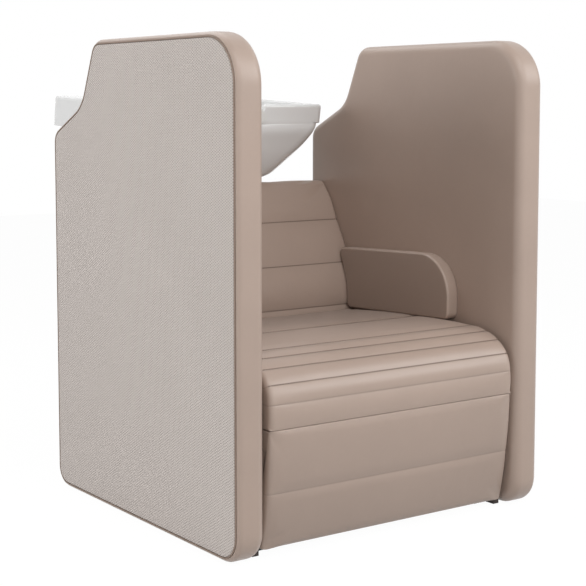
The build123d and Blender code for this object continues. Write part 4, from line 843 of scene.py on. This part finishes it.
class WashBedFabric(bpy.types.Operator):
    """Woven pads on the outer faces, with their piping"""

    bl_idname = "wash_bed.fabric"
    bl_label = "Outer fabric and piping"

    def execute(self, context):
        sizes = context.scene.wash_bed_sizes
        colours = context.scene.wash_bed_colours
        outline, normals = rounded_outline(PANEL_CORNERS, PANEL_RADII, PANEL_STEP)
        low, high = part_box("right_panel_fabric")
        face = high.x
        rings = [(inset, low.x) for inset in PAD_BACK] + [(PAD_INSET, face - PAD_DROP)]
        for k in range(1, PAD_STEPS + 1):
            turn = math.pi / 2 * k / PAD_STEPS
            inset = PAD_INSET + PAD_TURN * (1 - math.cos(turn))
            rings.append((inset, face - PAD_DROP * (1 - math.sin(turn))))

        def level(away):
            return face + sizes.panel_swell * 0.8 * (1 - math.exp(-away / 0.06))

        points, faces = padded_plate(outline, normals, rings, level, PANEL_CELL)
        faces.append(tuple(range(len(outline))))
        weave = finish_of("outer_fabric", fabric_finish)
        rope = thread_finish("piping", tuple(colours.piping), 300.0)
        path = outline - normals * PIPING_INSET
        tube_points, tube_faces = [], []
        ring = PIPING_SIDES
        radius = sizes.piping_radius
        centre_x = face - PIPING_SUNK
        for (depth, height), normal in zip(path, normals):
            for k in range(ring):
                turn = 2 * math.pi * k / ring
                out = normal * radius * math.cos(turn)
                x = centre_x + radius * math.sin(turn)
                tube_points.append((x, FRONT + depth + out[0], height + out[1]))
        steps = len(path)
        for i in range(steps):
            for k in range(ring):
                j, m = (i + 1) % steps, (k + 1) % ring
                tube_faces.append((i * ring + k, j * ring + k, j * ring + m, i * ring + m))
        for side in ("right", "left"):
            shape = (points, faces) if side == "right" else opposite(points, faces)
            pad = new_piece(side + "_fabric", *shape, weave)
            turned_outwards(pad)
            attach(pad, "frame")
            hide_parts(side + "_panel_fabric")
            shape = (tube_points, tube_faces) if side == "right" else opposite(tube_points, tube_faces)
            cord = new_piece(side + "_piping", *shape, rope)
            turned_outwards(cord)
            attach(cord, "frame")
            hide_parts(side + "_panel_piping")
        return {"FINISHED"}


class WashBedSeat(bpy.types.Operator):
    """Seat cushion and the apron under its front roll"""

    bl_idname = "wash_bed.seat"
    bl_label = "Seat and apron"

    def execute(self, context):
        sizes = context.scene.wash_bed_sizes
        rows = [
            ((0.060, 0.3056), 0, True, False), ((0.060, 0.346), 0, True, False),
            ((0.661, 0.346), 0, True, False), ((0.662, 0.432), 0.003, False, False),
        ]
        tops = SEAT_SEAMS[::-1]
        for i, seam in enumerate(tops):
            swell = SEAT_SWELLS[i] if i < len(SEAT_SWELLS) else 0
            rows.append((seam, swell, False, 0 < i < len(tops) - 1))
        rows[-1] = ((0.0040, 0.3053), 0, True, False)
        profile, held, seams = add_swell(rows)
        piece, paths = cushion("seat", profile, held, seams, sizes.seat_half_width, cover_material())
        # Painted shade: the seat's top is darkened in its colour towards the backrest.
        shade_where(piece, seat_painted_shade)
        inflated(piece, 4.0, 0.0026)
        refined(piece)
        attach(piece, "frame")
        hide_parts("seat_cushion")
        rows = [
            ((0.060, 0.0205), 0, True, False), ((0.060, 0.3047), 0, True, False),
            ((0.0040, 0.3047), 0.003, False, False), (APRON_SEAM, 0.003, False, True),
            ((0.0385, 0.0215), 0.002, False, False),
        ]
        profile, held, seams = add_swell(rows)
        apron, _ = cushion("apron", profile, held, seams, sizes.seat_half_width, cover_material())
        # Painted shade: the apron is darkened in its colour towards the floor.
        shade_where(apron, apron_painted_shade)
        inflated(apron, 4.0, 0.0026)
        refined(apron)
        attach(apron, "frame")
        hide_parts("apron_cushion")
        thread = thread_finish("thread", tuple(context.scene.wash_bed_colours.thread), 2500.0)
        sewing = stitches("seat_stitches", paths[:-1], thread)
        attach(sewing, "frame")
        return {"FINISHED"}


class WashBedBackrest(bpy.types.Operator):
    """Backrest with its three sewn channels"""

    bl_idname = "wash_bed.backrest"
    bl_label = "Backrest"

    def execute(self, context):
        sizes = context.scene.wash_bed_sizes
        rows = [
            ((0.700, 0.3455), 0, True, False), ((0.832, 0.7945), 0, True, False),
            ((0.8455, 0.7955), 0.001, False, False), ((0.8455, 0.806), 0.001, False, False),
            ((0.840, 0.812), 0.0005, False, False), ((0.829, 0.8128), 0.002, False, False),
            ((0.813, 0.800), 0.007, False, False), (BACK_SEAMS[2], 0.0045, False, True),
            (BACK_SEAMS[1], 0.011, False, True), (BACK_SEAMS[0], 0.0, False, True),
            ((0.6635, 0.3455), 0, True, False),
        ]
        profile, held, seams = add_swell(rows)
        piece, paths = cushion("backrest", profile, held, seams, sizes.back_half_width, cover_material())
        inflated(piece, 4.0, 0.005)
        refined(piece)
        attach(piece, "frame")
        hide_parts("backrest_cushion")
        thread = bpy.data.materials.get("thread")
        sewing = stitches("backrest_stitches", paths, thread)
        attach(sewing, "frame")
        return {"FINISHED"}


class WashBedArmrests(bpy.types.Operator):
    """Padded armrests with a rounded edge band"""

    bl_idname = "wash_bed.armrests"
    bl_label = "Armrests"

    def execute(self, context):
        outline, normals = rounded_outline(ARM_CORNERS, ARM_RADII, ARM_STEP)
        low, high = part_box("right_armrest")
        wall, face = high.x, low.x
        rings = [(inset, wall - away) for inset, away in ARM_SIDE]
        for k in range(ARM_EDGE_STEPS + 1):
            turn = math.pi / 2 * k / ARM_EDGE_STEPS
            inset = ARM_EDGE * (1 - math.cos(turn)) - ARM_BULGE
            rings.append((inset, face + ARM_EDGE * (1 - math.sin(turn))))

        def level(away):
            return face - ARM_SWELL * (1 - math.exp(-away / 0.03))

        points, faces = padded_plate(outline, normals, rings, level, ARM_CELL)
        faces.append(tuple(range(len(outline))))
        for side in ("right", "left"):
            shape = (points, faces) if side == "right" else opposite(points, faces)
            piece = new_piece(side + "_arm", *shape, cover_material())
            turned_outwards(piece)
            piece.data.attributes.new("seam", "FLOAT", "POINT")
            # Painted shade: the armrest's flat inner face is darkened in its colour.
            shade_where(piece, lambda x, y, z: 0.8 * (abs(x) < face + 0.0005))
            refined(piece)
            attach(piece, "frame")
            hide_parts(side + "_armrest")
        return {"FINISHED"}


class WashBedBowl(bpy.types.Operator):
    """Fuller outer wall of the bowl, over the basin's own, and the board behind the apron"""

    bl_idname = "wash_bed.bowl"
    bl_label = "Bowl wall and front board"

    def execute(self, context):
        lean, rise = math.sin(BASIN_TILT), math.cos(BASIN_TILT)
        rings = eased_rows(BOWL_FULL, BOWL_STEP) + eased_rows(BOWL_WALL, WALL_STEP)
        points = []
        for drop, half, front, rear, radius in rings:
            for x, reach in rounded_ring(half, front, rear, radius):
                under_neck = min(1.0, max(0.0, (NOTCH_HALF_WIDTH - abs(x)) / NOTCH_FADE))
                low = drop + max(0.0, NOTCH_LOW - drop) * under_neck * (reach < NOTCH_REACH)
                along, down = reach / 1000, low / 1000
                points.append((
                    x / 1000, FRONT + BASIN_ORIGIN[0] + along * rise + down * lean,
                    BASIN_ORIGIN[1] + along * lean - down * rise,
                ))
        count = len(points) // len(rings)
        faces = []
        for r in range(len(rings)):
            for k in range(count):
                ahead, j = (r + 1) % len(rings), (k + 1) % count
                faces.append((r * count + k, r * count + j, ahead * count + j, ahead * count + k))
        wall = new_piece("bowl_wall", points, faces, finish_of("glaze", glaze_finish))
        turned_outwards(wall)
        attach(wall, "basin")
        low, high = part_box("front_board")
        sides = [(x, y, z) for z in (KICK_BOARD_BOTTOM, high.z) for x, y in (
            (low.x, low.y), (high.x, low.y), (high.x, high.y), (low.x, high.y))]
        faces = [(3, 2, 1, 0), (4, 5, 6, 7)] + [(k, (k + 1) % 4, (k + 1) % 4 + 4, k + 4) for k in range(4)]
        # Painted shadow: the board behind the apron is near black and stands in for the shade under the
        # apron.
        painted_shadow_finish = moulded_finish("painted_shadow_plywood", (0.03, 0.022, 0.018), 0.6, 60.0, specks=0.25)
        board = new_piece("kick_board", sides, faces, painted_shadow_finish, smooth=False)
        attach(board, "frame")
        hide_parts("front_board")
        return {"FINISHED"}


class WashBedHardware(bpy.types.Operator):
    """Finishes of the basin, fittings, frame and fasteners"""

    bl_idname = "wash_bed.hardware"
    bl_label = "Basin, fittings and frame"

    def execute(self, context):
        finishes = {
            "plywood": plywood_finish(),
            "painted_shadow": bpy.data.materials.get("painted_shadow_plywood"),
            "laminate": moulded_finish("laminate", (0.075, 0.06, 0.052), 0.42, 180.0),
            "black_steel": moulded_finish("black_steel", (0.02, 0.02, 0.02), 0.38, 700.0, specks=0.3),
            "zinc_steel": moulded_finish("zinc_steel", (0.42, 0.43, 0.45), 0.32, 140.0, metal=1.0),
            "chromed": moulded_finish("chromed", (0.72, 0.73, 0.75), 0.06, 30.0, metal=1.0, specks=0.02),
            "brass": moulded_finish("brass", (0.62, 0.43, 0.16), 0.3, 120.0, metal=1.0),
            "glazed": finish_of("glaze", glaze_finish),
            "rubber": moulded_finish("rubber", (0.02, 0.02, 0.02), 0.7, 400.0, specks=0.3),
            "neck_gel": moulded_finish("neck_gel", (0.70, 0.70, 0.68), 0.5, 160.0, specks=0.04),
            "white_plastic": moulded_finish("white_plastic", (0.75, 0.75, 0.73), 0.3, 260.0, specks=0.03),
            "black_plastic": moulded_finish("black_plastic", (0.02, 0.02, 0.02), 0.4, 500.0, specks=0.3),
            "red_plastic": moulded_finish("red_plastic", (0.35, 0.012, 0.01), 0.35, 300.0),
            "blue_plastic": moulded_finish("blue_plastic", (0.01, 0.04, 0.26), 0.35, 300.0),
            "leatherette": cover_material(),
            "mesh_fabric": finish_of("outer_fabric", fabric_finish),
            "piping": bpy.data.materials.get("piping"),
        }
        for part in frame["record"]["subparts"]:
            node = frame["nodes"][part["node"]]
            # Painted shadow: the board and cheeks under the apron take the near-black finish instead of
            # plywood.
            under_apron = part["node"] in ("front_board", "left_cheek", "right_cheek")
            material = finishes["painted_shadow" if under_apron else part["material_slot"]]
            for place in node.material_slots:
                place.material = material
        return {"FINISHED"}


class WashBedStudio(bpy.types.Operator):
    """Floor, backdrop, lamps and camera"""

    bl_idname = "wash_bed.studio"
    bl_label = "Studio"

    def execute(self, context):
        stage = context.scene.wash_bed_stage
        paper = tuple(context.scene.wash_bed_colours.paper)
        finish = Finish("paper")
        place = finish.place()
        tooth = finish.noise(place, 40.0, 2.0)
        matt = finish.node(
            "ShaderNodeBsdfDiffuse", {}, {"Color": finish.mixed(tooth, shaded(paper, 0.995), paper)}
        )
        white = finish.node("ShaderNodeEmission", {}, {"Color": (1.0, 1.0, 1.0, 1.0), "Strength": 1.04})
        path = finish.node("ShaderNodeLightPath", {}, {}, "Is Camera Ray")
        seen = (path + path.output("Is Glossy Ray") + path.output("Is Transmission Ray")).clamp()
        blend = finish.node("ShaderNodeMixShader", {}, {0: seen * 0.94, 1: matt, 2: white})
        end = finish.tree.nodes.new("ShaderNodeOutputMaterial")
        finish.tree.links.new(blend.socket, end.inputs["Surface"])
        reach = FLOOR_REACH
        corners = [(-reach, -reach, 0), (reach, -reach, 0), (reach, reach, 0), (-reach, reach, 0)]
        ground = new_piece("floor", corners, [(0, 1, 2, 3)], finish.material, smooth=False)
        world = bpy.data.worlds.new("studio")
        context.scene.world = world
        world.use_nodes = True
        tree = world.node_tree
        tree.nodes.clear()
        even = tree.nodes.new("ShaderNodeBackground")
        even.inputs["Color"].default_value = (1.0, 0.985, 0.97, 1.0)
        even.inputs["Strength"].default_value = stage.ambient
        bright = tree.nodes.new("ShaderNodeBackground")
        bright.inputs["Strength"].default_value = 1.0
        bright.inputs["Color"].default_value = (1.0, 1.0, 1.0, 1.0)
        light = tree.nodes.new("ShaderNodeLightPath")
        choose = tree.nodes.new("ShaderNodeMixShader")
        end = tree.nodes.new("ShaderNodeOutputWorld")
        both = tree.nodes.new("ShaderNodeMath")
        both.operation = "MAXIMUM"
        tree.links.new(light.outputs["Is Camera Ray"], both.inputs[0])
        tree.links.new(light.outputs["Is Glossy Ray"], both.inputs[1])
        tree.links.new(both.outputs[0], choose.inputs[0])
        tree.links.new(even.outputs[0], choose.inputs[1])
        tree.links.new(bright.outputs[0], choose.inputs[2])
        tree.links.new(choose.outputs[0], end.inputs["Surface"])
        self.lamp("front", (-0.6, -5.0, 2.4), (0.0, -0.3, 0.7), (8.0, 3.0), stage.key)
        self.lamp("side", (-5.0, 0.8, 1.5), (-0.4, 0.0, 0.6), (4.5, 2.4), stage.fill)
        self.lamp("right", (3.8, -4.2, 3.5), (0.2, -0.5, 1.0), (3.0, 3.0), stage.right)
        self.lamp("top", (-0.3, -2.4, 3.2), (0.1, -0.4, 0.5), (2.4, 1.2), stage.top)
        self.lamp("rear", (-0.3, 1.3, 3.2), (0.0, -0.1, 0.6), (2.4, 2.0), stage.rear)
        camera_data = bpy.data.cameras.new("camera")
        camera = bpy.data.objects.new("camera", camera_data)
        context.scene.collection.objects.link(camera)
        camera.location = stage.place
        camera.rotation_euler = (math.radians(90 - stage.pitch), 0, math.radians(stage.azimuth))
        camera_data.sensor_width = 36.0
        camera_data.lens = stage.lens
        camera_data.shift_y = stage.shift
        camera_data.clip_end = 60.0
        context.scene.camera = camera
        context.scene.view_settings.view_transform = "Standard"
        return {"FINISHED"}

    def lamp(self, name, place, aim, size, power):
        """A soft light that points at aim."""
        data = bpy.data.lights.new(name, "AREA")
        data.shape = "RECTANGLE"
        data.size, data.size_y = size
        data.energy = power
        lamp = bpy.data.objects.new(name, data)
        bpy.context.scene.collection.objects.link(lamp)
        lamp.location = place
        lamp.rotation_euler = (Vector(aim) - Vector(place)).to_track_quat("-Z", "Y").to_euler()
        return lamp


class WashBedPanel(bpy.types.Panel):
    """Lists the steps in the sidebar"""

    bl_idname = "VIEW3D_PT_wash_bed"
    bl_label = "Hair washing bed"
    bl_space_type = "VIEW_3D"
    bl_region_type = "UI"
    bl_category = "Wash bed"

    def draw(self, context):
        for step in STEPS:
            self.layout.operator(step.bl_idname)


STEPS = (
    WashBedStudio, WashBedPanels, WashBedFabric, WashBedSeat, WashBedBackrest, WashBedArmrests,
    WashBedBowl, WashBedHardware,
)
GROUPS = (WashBedSizes, WashBedColours, WashBedStage)


def register():
    for each in GROUPS + STEPS + (WashBedPanel,):
        bpy.utils.register_class(each)
    bpy.types.Scene.wash_bed_sizes = PointerProperty(type=WashBedSizes)
    bpy.types.Scene.wash_bed_colours = PointerProperty(type=WashBedColours)
    bpy.types.Scene.wash_bed_stage = PointerProperty(type=WashBedStage)


def unregister():
    del bpy.types.Scene.wash_bed_stage
    del bpy.types.Scene.wash_bed_colours
    del bpy.types.Scene.wash_bed_sizes
    for each in reversed(GROUPS + STEPS + (WashBedPanel,)):
        bpy.utils.unregister_class(each)


def main():
    """Make every piece in order."""
    register()
    for step in STEPS:
        group, action = step.bl_idname.split(".")
        getattr(getattr(bpy.ops, group), action)()


if __name__ == "__main__":
    main()
